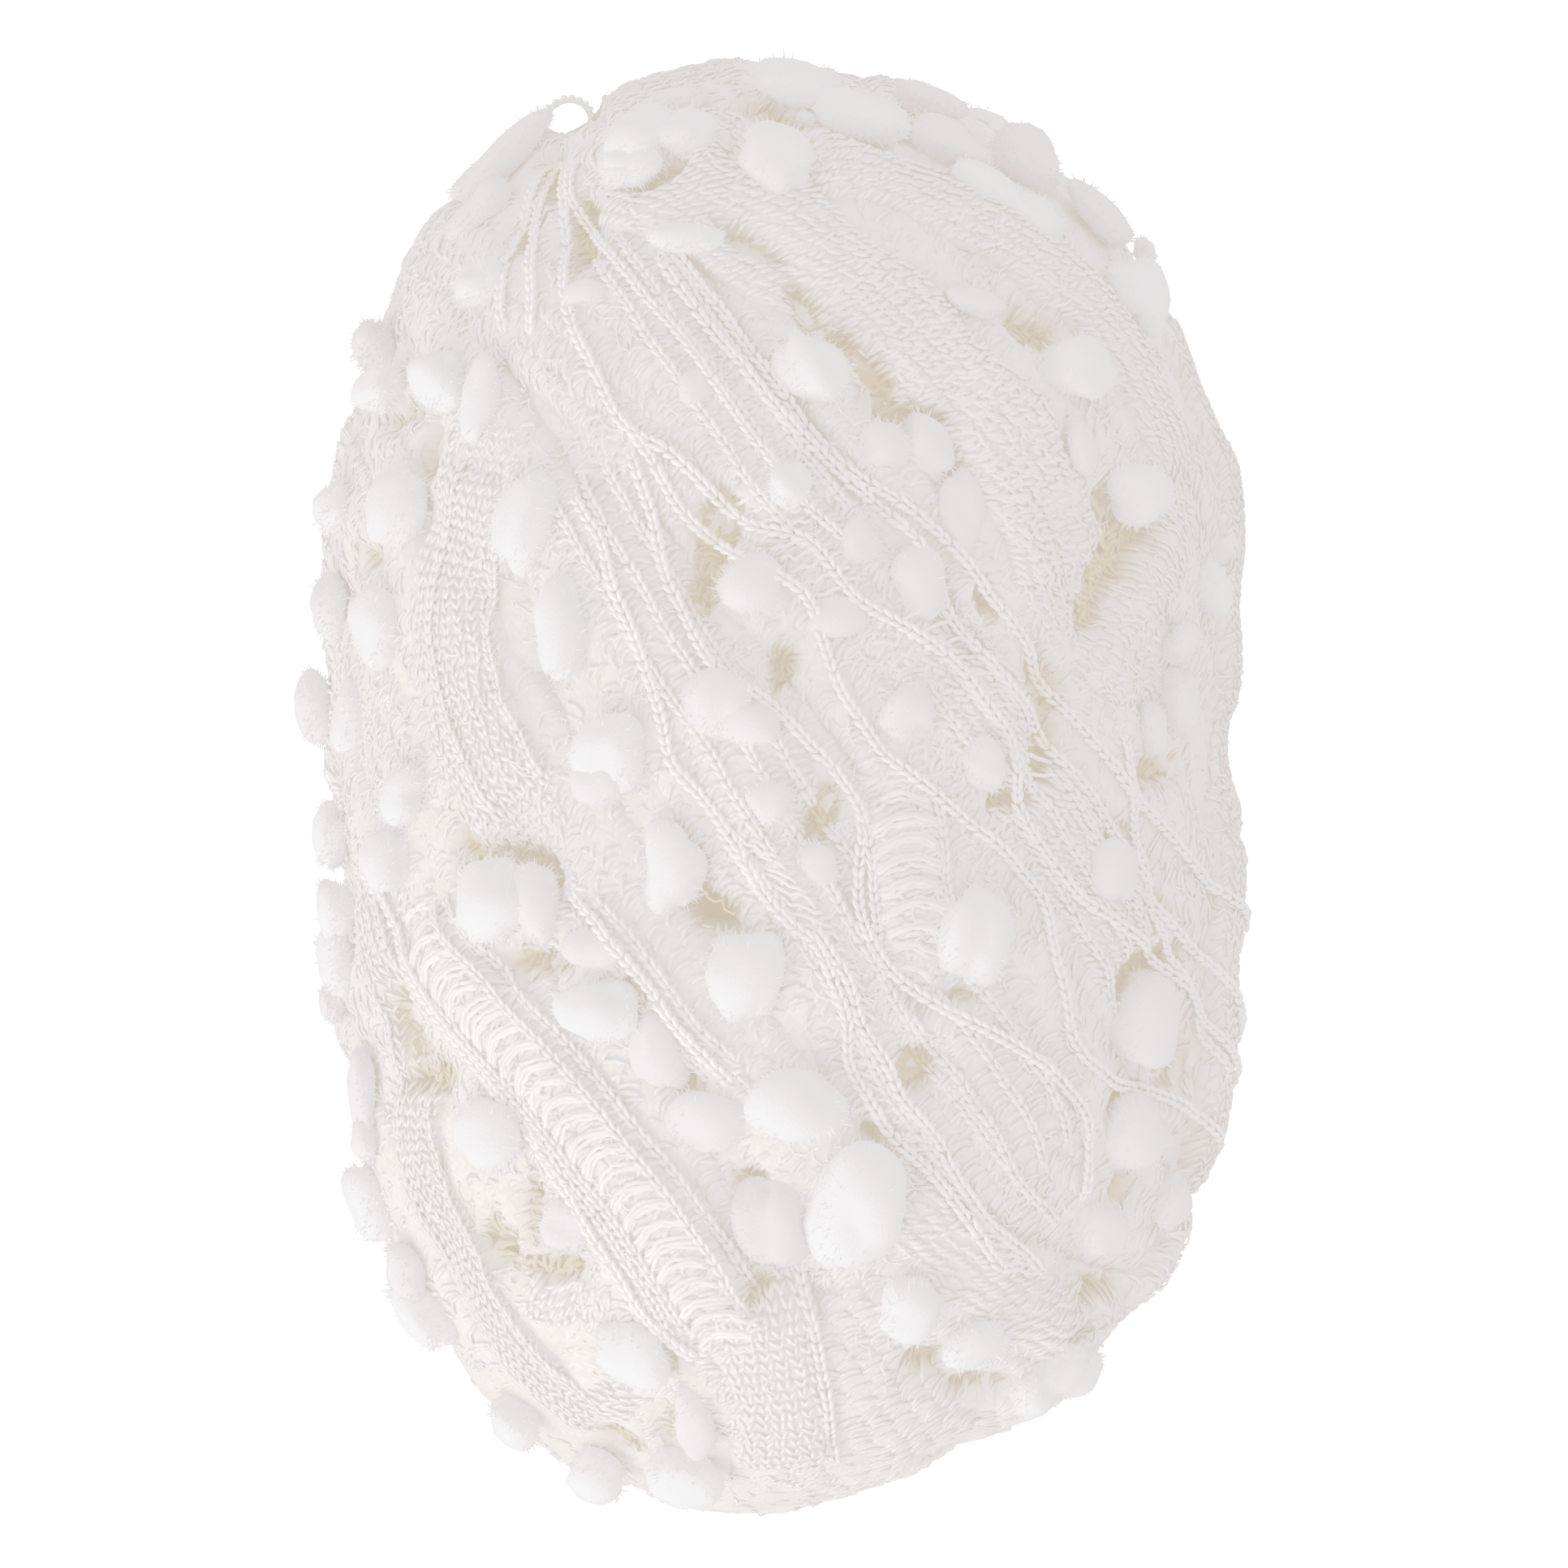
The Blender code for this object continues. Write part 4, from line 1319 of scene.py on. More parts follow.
HOLLOWS = tuple(Hollow(*row) for row in (
    (703, 142, 6, 5.5, 0, 6, -20), (925, 322, 9, 2.6, -30, 5), (990, 390, 6, 3, -50, 5),
    (1035, 437, 5, 2.6, -40, 5),
    (1075, 475, 6, 3.6, -50, 6), (1112, 522, 9, 3.2, -10, 6.5), (1165, 590, 7, 3.4, -65, 6.5),
    (1260, 415, 7, 3, -30, 5.5), (1385, 655, 6, 4.2, 60, 6.5), (1360, 695, 7, 4.2, 60, 6.5),
    (1340, 745, 7, 2.6, 70, 5.5), (1352, 625, 4, 2.6, 80, 5), (888, 660, 9, 5.5, 75, 6.5),
    (873, 725, 7, 3.6, 70, 6.5), (965, 825, 5.5, 3, 75, 6), (1275, 840, 7, 2.6, -60, 6.5),
    (1272, 920, 8, 3.4, 85, 6.5), (1225, 985, 5, 3, 0, 6), (1205, 745, 4, 2, -60, 4.5),
    (1415, 945, 6, 3.4, 20, 6), (1405, 1110, 4, 2.6, 80, 5.5), (1360, 1035, 5, 1.8, 0, 5),
    (1405, 1180, 6, 2.4, 10, 6), (1378, 1200, 5, 2.4, 90, 6), (1430, 1300, 6, 3.6, 85, 6.5),
    (1370, 1355, 5, 2, 10, 5.5), (1365, 1455, 3.4, 2.4, 60, 5), (725, 300, 8, 3.6, 85, 5),
    (685, 225, 6, 3.4, 85, 5), (950, 155, 8, 2.4, -20, 4.5), (1010, 125, 4, 2.4, 60, 4.5),
    (1065, 190, 5, 1.8, 10, 4), (820, 240, 7, 3, 30, 4.5), (655, 300, 4, 2.6, 80, 4),
    (545, 560, 7, 2.2, 75, 5), (470, 690, 5, 3, 0, 4.5), (505, 520, 6, 2.4, 20, 4),
    (590, 1045, 6, 2.6, -70, 5.5), (640, 1052, 8, 2.2, -10, 5.5), (680, 1070, 5, 3, -40, 5.5),
    (675, 1180, 8, 2.4, -5, 6), (790, 1205, 5, 2, -75, 6), (815, 1275, 7, 1.8, -60, 5.5),
    (852, 1320, 5, 2.6, -30, 5.5), (880, 1115, 6, 4, 0, 6), (1010, 1005, 8, 4, 60, 5),
    (518, 1255, 10, 3.6, -80, 4.5), (545, 1320, 6, 4, 20, 5), (665, 1475, 8, 2.6, 80, 5.5),
    (615, 1520, 7, 3, -70, 5.5), (690, 1550, 10, 2.6, 0, 5.5), (925, 1445, 6, 2.2, -10, 6),
    (935, 1575, 4, 3, 60, 4.5), (1120, 1305, 6, 5, 60, 4.5), (1070, 1385, 4, 2.6, -50, 4.5),
    (825, 1745, 5, 2.4, 80, 5), (770, 1765, 7, 2, -25, 4.5), (820, 1645, 10, 1.6, -30, 4.5),
    (1135, 1655, 6, 3, 0, 4.5), (1200, 1690, 8, 3, 0, 4), (1350, 1580, 6, 2.4, 20, 4.5),
    (1320, 1640, 6, 2, 10, 4.5), (1430, 465, 3, 2, 70, 4.5), (1440, 550, 3, 2, 80, 4.5),
    (1170, 1220, 4, 2, 0, 4),
))


@dataclass
class Curls:
    """Fine curled threads over the net: each is a wavy line with loops in it, laid on the cover.

    A curl runs along the slant of the winding; its place swings across and forward on two sines,
    which makes the small loops of a fluffy knitted net. Pairs are the least and the greatest, in
    millimetres where they are lengths.

    Args:
        form: the ball.
        share: how much of the ball's half length they fill.
        points: points of a curl.
        length: its length.
        heading: the usual heading and how far it strays, in degrees.
        loops: how many loops it has.
        swing: how far they reach aside.
        forward: their reach forward as a share of that.
        bend: how far its middle line sways.
        rise: how far it stands over the cover.
        thread: its radius.
    """

    form: BallForm
    share: float = 0.97
    points: int = 12
    length: tuple = (4.0, 9.0)
    heading: tuple = (-52.0, 26.0)
    loops: tuple = (1.4, 2.6)
    swing: tuple = (0.5, 1.1)
    forward: float = 0.75
    bend: float = 1.2
    rise: tuple = (0.12, 0.56)
    thread: tuple = (0.13, 0.2)

    def build(self, cover: YarnCover, count: int, seed: int, turn: float) -> MeshData:
        """The curls of one side of the ball.

        Args:
            cover: what they lie on.
            count: how many there are.
            seed: the start of the random draws.
            turn: the angle round the axis that they fill, from 0.

        Returns:
            The mesh.
        """
        chance, each = np.random.default_rng(seed), (count, 1)
        around, along = self.form.scattered(chance, count, turn, self.share)
        run = np.linspace(-0.5, 0.5, self.points)[None, :]
        length = chance.uniform(*self.length, each) * MM
        slant = np.radians(chance.normal(*self.heading, each))
        loops = chance.uniform(*self.loops, each)
        phase = chance.uniform(0.0, FULL_TURN, each)
        swing = chance.uniform(*self.swing, each) * MM
        wave = FULL_TURN * loops * run + phase
        forth = run * length + self.forward * swing * np.cos(wave)
        wide = swing * np.sin(wave) + self.bend * MM * np.sin(3.0 * run + phase)
        around, along = self.form.moved(around, along, *turned(forth, wide, slant))
        low, high = self.rise
        rise = low + 0.5 * (high - low) * (1.0 + np.sin(2.0 * wave + phase))
        paths = self.form.lifted(around, along, cover.read(around, along) + rise * MM)
        thread = chance.uniform(*self.thread, each) * MM
        return threads(paths, self.form.normal(around, along), thread, 3)


@dataclass
class WoundCore:
    """The inner turns seen deep between the outer ones: a closed, uneven surface.

    Args:
        form: the ball.
        steps_around: points round a ring.
        steps_along: rings along it.
        heading: direction that the strands' waves run in.
        fine: height and length of the fine waves.
        broad: height and length of the broad ones.
    """

    form: BallForm
    steps_around: int = 150
    steps_along: int = 90
    heading: tuple = (0.75, 0.66, 0.1)
    fine: tuple = (0.35 * MM, 0.45 * MM)
    broad: tuple = (0.3 * MM, 1.3 * MM)

    def build(self, cover: YarnCover) -> MeshData:
        """Rings round the axis at the ground's height, with slanting strands in their surface.

        Args:
            cover: the ground.

        Returns:
            The mesh.
        """
        around = np.arange(self.steps_around) * (FULL_TURN / self.steps_around)
        share = (np.arange(self.steps_along) + 0.5) / self.steps_along - 0.5
        along = self.form.half_length * (1.2 * share + 0.4 * np.sin(share * math.pi)) * 0.998
        around, along = np.meshgrid(around, along)
        slant = self.form.plain(around, along) @ np.array(self.heading)
        fine = self.fine[0] * np.sin(slant / self.fine[1])
        strands = fine + self.broad[0] * np.sin(slant / self.broad[1] + 4 * around)
        rings = self.form.lifted(around, along, cover.read(around, along) + strands)[None]
        return tubes(rings, rings[:, [0, -1]].mean(axis=2))


@dataclass(frozen=True)
class Tufts:
    """Where pompoms sit and how big they are, a row for each.

    Args:
        middle: an (n, 3) array of their middles.
        heading: unit vectors along them.
        normal: unit vectors out of the ball.
        length: their lengths.
        width: their widths.
    """

    middle: np.ndarray
    heading: np.ndarray
    normal: np.ndarray
    length: np.ndarray
    width: np.ndarray

    def half(self) -> np.ndarray:
        """Half their sizes along, across and out of the ball."""
        return 0.5 * np.stack([self.length, self.width, self.width * 0.88], axis=-1)

    def placed(self, shape: np.ndarray) -> np.ndarray:
        """An (n, i, j, 3) array of points, turned from the tufts' own directions to the scene's."""
        axes = np.stack([self.heading, np.cross(self.normal, self.heading), self.normal], axis=1)
        return self.middle[:, None, None, :] + np.einsum("nijk,nkl->nijl", shape, axes)


@dataclass
class PompomPile:
    """Pompoms: plump tufts of cut pile, each a rounded body with short fibres standing on it.

    Args:
        steps_around: points round a body.
        steps_along: rings along it.
        fibres: how many fibres stand on each.
        seed: the start of the random draws.
        beats: the broad waves of a body as (waves round it, height).
    """

    steps_around: int = 20
    steps_along: int = 12
    fibres: int = 200
    seed: int = 21
    beats: tuple = ((2.4, 0.12), (3.3, 0.11), (5.0, 0.075), (7.5, 0.045), (11.0, 0.03))

    def swell(self, facing: np.ndarray, waves: list) -> np.ndarray:
        """Reach of each body in unit directions, for half sizes of 1: a plump superellipsoid.

        It is (|x|**p + |y|**p + |z|**p)**(-1/p) with p = 2.15, changed by a few broad waves, each
        a sine of the direction along a random axis.

        Args:
            facing: the directions, a row for each body.
            waves: the waves as (axes, phases, waves round the body, height).

        Returns:
            The reaches.
        """
        plump = 2.15
        reach = (np.abs(facing) ** plump).sum(axis=-1) ** (-1.0 / plump)
        ones = [1] * (facing.ndim - 2)
        for axis, phase, beat, size in waves:
            along_axis = (facing * axis.reshape(-1, *ones, 3)).sum(axis=-1)
            reach = reach + size * np.sin(beat * along_axis + phase.reshape(-1, *ones))
        return reach

    def build(self, tufts: Tufts) -> tuple[MeshData, MeshData]:
        """The bodies and their fibres, each tuft turned to its heading and put in its place.

        Args:
            tufts: where they sit.

        Returns:
            The mesh of the bodies and the mesh of the fibres.
        """
        count = len(tufts.middle)
        chance = np.random.default_rng(self.seed + count)
        waves = [
            (unit(chance.normal(size=(count, 3))), chance.uniform(0.0, FULL_TURN, count), beat, size)
            for beat, size in self.beats
        ]
        return self._bodies(tufts, waves), self._fibres(tufts, waves, chance)

    def _bodies(self, tufts: Tufts, waves: list) -> MeshData:
        """The closed rounded bodies, rings from end to end with a fan over each end.

        Args:
            tufts: where they sit.
            waves: the waves of swell.

        Returns:
            The mesh.
        """
        polar = (np.arange(self.steps_along) + 0.5) / self.steps_along * math.pi
        turn = np.arange(self.steps_around) * (FULL_TURN / self.steps_around)
        polar, turn = np.meshgrid(polar, turn, indexing="ij")
        girth = np.sin(polar)
        ball = np.stack([np.cos(polar), girth * np.cos(turn), girth * np.sin(turn)], axis=-1)
        reach = self.swell(np.broadcast_to(ball, (len(tufts.middle), *ball.shape)), waves) * 0.93
        points = tufts.placed(ball[None] * reach[..., None] * tufts.half()[:, None, None, :])
        return tubes(points, points[:, [0, -1]].mean(axis=2))

    def _fibres(self, tufts: Tufts, waves: list, chance: np.random.Generator) -> MeshData:
        """Short fibres on a sunflower spiral over each tuft: thin three-sided spikes, leaning unevenly.

        Args:
            tufts: where they sit.
            waves: the waves of swell.
            chance: the source of random draws.

        Returns:
            The mesh.
        """
        number = np.arange(self.fibres)
        rise = 0.62 - 1.2 * (number + 0.5) / self.fibres
        turn = number * GOLDEN_ANGLE
        flat = np.sqrt(1.0 - rise**2)
        spiral = np.stack([flat * np.cos(turn), flat * np.sin(turn), rise], axis=-1)
        half = tufts.half()[:, None, :]
        each, tallest = (len(half), self.fibres), 1.8 * MM
        facing = unit(spiral[None] + chance.normal(0.0, 0.09, (*each, 3)))
        root = facing * self.swell(facing, waves)[..., None] * half
        lean = unit(unit(facing / half) + chance.normal(0.0, 0.42, (*each, 3)))
        tall = chance.uniform(0.3, 1.0, (*each, 1)) * np.minimum(tallest, 0.5 * half[..., 1:2])
        side = unit(np.cross(lean, [0.31, 0.53, 0.79]))
        other = np.cross(lean, side)
        thick = chance.uniform(0.1, 0.16, (*each, 1)) * MM
        corners = [
            root * 0.88 + thick * (side * math.cos(angle) + other * math.sin(angle))
            for angle in 0.5 + np.arange(3) * (FULL_TURN / 3.0)
        ]
        verts = tufts.placed(np.stack([*corners, root * 0.9 + lean * tall], axis=2)).reshape(-1, 3)
        verts[:, 2] = np.maximum(verts[:, 2], FLOOR_GAP)
        start = np.arange(0, len(verts), 4)[:, None]
        tris = np.concatenate([start + corner for corner in ((0, 1, 3), (1, 2, 3), (2, 0, 3), (0, 2, 1))])
        return MeshData(verts, np.zeros((0, 4), int), tris, verts[:, :2] / MM)


def set_inputs(node: bpy.types.Node, values: dict) -> bpy.types.Node:
    """Set constants on a node's inputs.

    Args:
        node: the node.
        values: the constants by the inputs' names.

    Returns:
        The node.
    """
    for name, value in values.items():
        node.inputs[name].default_value = value
    return node


def new_group(
    name: str, scales: dict, outputs: tuple
) -> tuple[bpy.types.NodeTree, bpy.types.Node, bpy.types.Node]:
    """A shader node group with a Vector input, named numbers and named results.

    Args:
        name: the group's name.
        scales: the numbers' names with their defaults.
        outputs: the results' names.

    Returns:
        The group, its input node and its output node.
    """
    tree = bpy.data.node_groups.new(name, "ShaderNodeTree")
    tree.interface.new_socket(name="Vector", in_out="INPUT", socket_type="NodeSocketVector")
    for socket, value in scales.items():
        made = tree.interface.new_socket(name=socket, in_out="INPUT", socket_type="NodeSocketFloat")
        made.default_value = value
    for socket in outputs:
        tree.interface.new_socket(name=socket, in_out="OUTPUT", socket_type="NodeSocketFloat")
    return tree, tree.nodes.new("NodeGroupInput"), tree.nodes.new("NodeGroupOutput")


def maths(
    tree: bpy.types.NodeTree, operation: str, first: object, second: object = None
) -> bpy.types.NodeSocket:
    """Add a Math node.

    Args:
        tree: the node tree.
        operation: what the node does.
        first: the socket or number that feeds it.
        second: the other one, where there is one.

    Returns:
        Its output.
    """
    node = tree.nodes.new("ShaderNodeMath")
    node.operation = operation
    for socket, value in zip(node.inputs, (first, second)):
        if isinstance(value, bpy.types.NodeSocket):
            tree.links.new(value, socket)
        elif value is not None:
            socket.default_value = value
    return node.outputs[0]


def fluff_group() -> bpy.types.NodeTree:
    """Fine fluff: two noises of Object coordinates, one for fibres and one for broad unevenness.

    Returns:
        The group.
    """
    scales = {"Fibre scale": 1800.0, "Patch scale": 90.0}
    tree, source, sink = new_group("Fluff", scales, ("Height", "Patches"))
    for scale, result, values in (
        ("Fibre scale", "Height", {"Detail": 4.0, "Roughness": 0.7}),
        ("Patch scale", "Patches", {"Detail": 3.0}),
    ):
        noise = set_inputs(tree.nodes.new("ShaderNodeTexNoise"), values)
        tree.links.new(source.outputs["Vector"], noise.inputs["Vector"])
        tree.links.new(source.outputs[scale], noise.inputs["Scale"])
        tree.links.new(noise.outputs["Fac"], sink.inputs[result])
    return tree


def knit_group() -> bpy.types.NodeTree:
    """Knitted columns from a UV in millimetres: V-shaped stitches with a crease between columns.

    Returns:
        The group.
    """
    tree, source, sink = new_group("Knit", {"Column": 2.2, "Row": 1.8}, ("Height",))
    parts = tree.nodes.new("ShaderNodeSeparateXYZ")
    tree.links.new(source.outputs["Vector"], parts.inputs[0])
    column = maths(tree, "DIVIDE", parts.outputs["X"], source.outputs["Column"])
    side = maths(tree, "ABSOLUTE", maths(tree, "SUBTRACT", maths(tree, "FRACT", column), 0.5))
    row = maths(tree, "DIVIDE", parts.outputs["Y"], source.outputs["Row"])
    leg = maths(tree, "ADD", row, maths(tree, "MULTIPLY", side, 1.5))
    wave = maths(tree, "COSINE", maths(tree, "MULTIPLY", leg, FULL_TURN))
    raised = maths(tree, "ADD", maths(tree, "MULTIPLY", wave, 0.5), 0.5)
    falloff = maths(tree, "SUBTRACT", 1.0, maths(tree, "POWER", maths(tree, "MULTIPLY", side, 2.0), 4.0))
    tree.links.new(maths(tree, "MULTIPLY", raised, falloff), sink.inputs["Height"])
    return tree


@dataclass(frozen=True)
class YarnFinish:
    """Ivory yarn: its light and shaded colours, its fluff and, on tape, its knitted bump.

    Args:
        name: the material's name.
        light: its colour where it is raised, free of painted shade.
        deep: its colour of painted shade, taken where it lies deep among the turns, in hollows and, on tape,
            in knitted creases.
        fibre_scale: fineness of its fluff.
        bump: strength of its bump.
        sheen: weight of its sheen.
        knit_bump: height of its knitted columns beside its fluff.
        roughness: its roughness.
        patch_scale: fineness of its uneven patches.
        mottle: strength of the patches.
    """

    name: str
    light: tuple
    deep: tuple
    fibre_scale: float
    bump: float
    sheen: float
    knit_bump: float = 0.0
    roughness: float = 0.9
    patch_scale: float = 90.0
    mottle: float = 0.25

    def build(self, fluff: bpy.types.NodeTree, knit: bpy.types.NodeTree) -> bpy.types.Material:
        """The material: two tones mixed by random patches and by painted shade where the yarn lies deep or in
        a knitted crease, and a bump of both groups.

        Args:
            fluff: the fluff group.
            knit: the knit group.

        Returns:
            The material.
        """
        material = bpy.data.materials.new(self.name)
        material.use_nodes = True
        tree = material.node_tree
        add, link = tree.nodes.new, tree.links.new
        shader, place = tree.nodes["Principled BSDF"], add("ShaderNodeTexCoord")
        set_inputs(shader, {
            "Roughness": self.roughness, "Sheen Weight": self.sheen, "Sheen Roughness": 0.5,
            "Specular IOR Level": 0.2,
        })
        fluffy = add("ShaderNodeGroup")
        fluffy.node_tree = fluff
        set_inputs(fluffy, {"Fibre scale": self.fibre_scale, "Patch scale": self.patch_scale})
        link(place.outputs["Object"], fluffy.inputs["Vector"])
        # Painted shade: the depth attribute darkens the colour toward the deep one, and random patches vary
        # it
        sunk = add("ShaderNodeAttribute")
        sunk.attribute_name = "depth"
        patches = maths(tree, "SUBTRACT", fluffy.outputs["Patches"], 0.47)
        patches = maths(tree, "MULTIPLY", patches, self.mottle)
        shade = maths(tree, "ADD", maths(tree, "POWER", sunk.outputs["Fac"], 1.1), patches)
        height = fluffy.outputs["Height"]
        if self.knit_bump:
            knitted = add("ShaderNodeGroup")
            knitted.node_tree = knit
            link(place.outputs["UV"], knitted.inputs["Vector"])
            relief = knitted.outputs["Height"]
            # Painted shade in the knitted creases: the lower the knit's relief, the darker the colour
            dips = maths(tree, "MULTIPLY", maths(tree, "SUBTRACT", 1.0, relief), 0.2)
            shade = maths(tree, "ADD", shade, dips)
            height = maths(tree, "ADD", height, maths(tree, "MULTIPLY", relief, self.knit_bump))
        mix = add("ShaderNodeMix")
        mix.data_type = "RGBA"
        set_inputs(mix, {"A": (*self.light, 1.0), "B": (*self.deep, 1.0)})
        link(shade, mix.inputs["Factor"])
        link(mix.outputs["Result"], shader.inputs["Base Color"])
        bump = set_inputs(add("ShaderNodeBump"), {"Strength": self.bump, "Distance": 0.3 * MM})
        link(height, bump.inputs["Height"])
        link(bump.outputs["Normal"], shader.inputs["Normal"])
        return material


def net_finish(name: str, light: tuple, deep: tuple) -> YarnFinish:
    """A finish of the net's fine threads, of two colours."""
    return YarnFinish(name, light, deep, 2500.0, 0.1, 0.8, patch_scale=240.0, mottle=0.7)


def pile_finish(name: str, light: tuple, deep: tuple) -> YarnFinish:
    """A finish of the pompoms' cut pile, of two colours."""
    return YarnFinish(name, light, deep, 2200.0, 0.6, 0.4, roughness=0.95, patch_scale=160.0)


class Yarn(Enum):
    """The named finishes of the yarn."""

    # The tape's ground is painted darker than the stitches, threads and cords that lie over it: painted shade
    # under them
    TAPE = YarnFinish("knitted tape", (0.87, 0.83, 0.80), (0.50, 0.37, 0.15), 1500.0, 0.3, 0.6,
                      knit_bump=0.6, patch_scale=240.0, mottle=0.7)
    FLUFF = net_finish("net fluff", (0.90, 0.865, 0.84), (0.54, 0.42, 0.18))
    THREAD = net_finish("net thread", (0.96, 0.92, 0.885), (0.60, 0.47, 0.20))
    CORD = YarnFinish("twisted cord", (0.985, 0.955, 0.915), (0.92, 0.84, 0.66), 2500.0, 0.1, 0.8,
                      patch_scale=650.0)
    # A dark brown finish for the inner turns: painted shade deep between the outer turns
    INNER = YarnFinish("inner turns", (0.62, 0.51, 0.30), (0.50, 0.38, 0.16), 1200.0, 0.8, 0.2)
    # The pile's deep colour paints shade on the pompoms' lower rims
    PILE = pile_finish("pompom pile", (0.87, 0.90, 0.925), (0.85, 0.83, 0.84))
    # The darkest copy of the pompom pile: painted shade
    EDGE_PILE = pile_finish("shaded pompom pile", (0.74, 0.71, 0.76), (0.66, 0.62, 0.65))
    # A darker, more lavender copy of the pompom pile: painted shade for pompoms that sit low
    SUNK_PILE = pile_finish("sunk pompom pile, painted shade", (0.815, 0.79, 0.83), (0.73, 0.685, 0.71))


@dataclass
class Studio:
    """A pale floor, soft even light and a camera straight above the ball.

    Args:
        floor_size: the floor's side.
        floor_glow: how brightly the floor lights the ball.
        floor_white: how brightly it shows to the camera.
        sky: the sky's strength.
        sky_colour: its colour.
        key: the lamp's power.
        key_colour: its colour.
        key_size: its side.
        key_place: its middle.
        key_aim: the point that it faces.
        film_curve: the points of the film's curve.
        film_steps: the places of the points of the colours' curves.
        film_warmth: the values there of red, green and blue.
    """

    floor_size: float = 4.0
    floor_glow: float = 0.27
    floor_white: float = 1.1
    sky: float = 0.62
    sky_colour: tuple = (0.985, 0.965, 1.0, 1.0)
    key: float = 19.2
    key_colour: tuple = (1.0, 0.965, 0.90)
    key_size: float = 1.5
    key_place: tuple = (-1.04, -1.03, 0.65)
    key_aim: tuple = (0.0, 0.0, 0.05)
    film_curve: tuple = (
        (0.0, 0.36), (0.1, 0.48), (0.2, 0.59), (0.33, 0.70), (0.62, 0.79), (0.78, 0.835), (0.88, 0.873),
        (0.95, 0.912), (0.985, 0.94),
    )
    film_steps: tuple = (0.0, 0.18, 0.45, 0.684, 0.82, 0.92)
    film_warmth: tuple = (
        (0.20, 0.285, 0.54, 0.808, 0.92, 0.962),
        (0.13, 0.235, 0.455, 0.722, 0.881, 0.95),
        (0.04, 0.20, 0.43, 0.68, 0.872, 0.947),
    )

    def floor(self) -> None:
        """A plain white floor: it shows as clear white, and lights the ball from below more softly."""
        mesh = bpy.data.meshes.new("floor")
        half = 0.5 * self.floor_size
        corners = [(-half, -half, 0.0), (half, -half, 0.0), (half, half, 0.0), (-half, half, 0.0)]
        mesh.from_pydata(corners, [], [(0, 1, 2, 3)])
        material = bpy.data.materials.new("white floor")
        material.use_nodes = True
        nodes, links = material.node_tree.nodes, material.node_tree.links
        shader = set_inputs(nodes["Principled BSDF"], {
            "Base Color": (0.2, 0.2, 0.2, 1.0), "Roughness": 1.0, "Specular IOR Level": 0.0,
            "Emission Color": (1.0, 1.0, 1.0, 1.0),
        })
        seen = nodes.new("ShaderNodeLightPath")
        glow = set_inputs(
            nodes.new("ShaderNodeMapRange"), {"To Min": self.floor_glow, "To Max": self.floor_white}
        )
        links.new(seen.outputs["Is Camera Ray"], glow.inputs["Value"])
        links.new(glow.outputs["Result"], shader.inputs["Emission Strength"])
        mesh.materials.append(material)
        floor = bpy.data.objects.new("floor", mesh)
        bpy.context.scene.collection.objects.link(floor)

    def light(self) -> None:
        """An even white sky and one broad soft lamp from the lower left of the photograph."""
        world = bpy.data.worlds.new("studio")
        world.use_nodes = True
        set_inputs(world.node_tree.nodes["Background"], {"Color": self.sky_colour, "Strength": self.sky})
        bpy.context.scene.world = world
        lamp = bpy.data.lights.new("soft_key", "AREA")
        lamp.shape = "SQUARE"
        lamp.size = self.key_size
        lamp.color = self.key_colour
        lamp.energy = self.key
        key = bpy.data.objects.new("soft_key", lamp)
        key.location = self.key_place
        key.rotation_euler = (Vector(self.key_aim) - key.location).to_track_quat("-Z", "Y").to_euler()
        key.visible_camera = False
        bpy.context.scene.collection.objects.link(key)

    def camera(self) -> None:
        """A long lens straight above, framed so that one photograph pixel is one PIXEL at mid height."""
        data = bpy.data.cameras.new("camera")
        data.sensor_width = 36.0
        data.lens = data.sensor_width * VIEW_DISTANCE / (PHOTO_SIDE * PIXEL)
        data.clip_end = 20.0
        camera = bpy.data.objects.new("camera", data)
        camera.location = (*VIEW_MIDDLE, VIEW_LEVEL + VIEW_DISTANCE)
        bpy.context.scene.collection.objects.link(camera)
        bpy.context.scene.camera = camera

    def tone(self) -> None:
        """A high-key print: each colour's curve warms the shade, then one film curve lifts it."""
        view = bpy.context.scene.view_settings
        view.view_transform = "Standard"
        view.use_curve_mapping = True
        steps = [tuple(zip(self.film_steps, values)) for values in self.film_warmth]
        for curve, points in zip(view.curve_mapping.curves, (*steps, self.film_curve)):
            curve.points[0].location = points[0]
            for place, value in points[1:]:
                curve.points.new(place, value)
        view.curve_mapping.update()

    def build(self) -> None:
        """Set the stage."""
        self.floor()
        self.light()
        self.camera()
        self.tone()


@dataclass(frozen=True)
class Winding:
    """A kind of turn that runs all round the ball.

    Args:
        bearing: direction that its plane faces, in degrees.
        cap: the highest bed that it lies on, in millimetres.
        share: its width as a share of the ball's usual one.
        play: how far its direction strays, as a share of the usual play.
        step: spacing of its places, in millimetres.
    """

    bearing: float
    cap: float
    share: float
    play: float
    step: float


class Turn(Enum):
    """The kinds of turns all round the ball."""

    HOOP = Winding(90.0, -0.9, 1.75, 0.25, 3.0)
    LENGTHWISE = Winding(8.0, -0.5, 1.15, 1.0, 3.0)
    SLANTING = Winding(50.0, 0.7, 1.0, 1.0, 2.3)


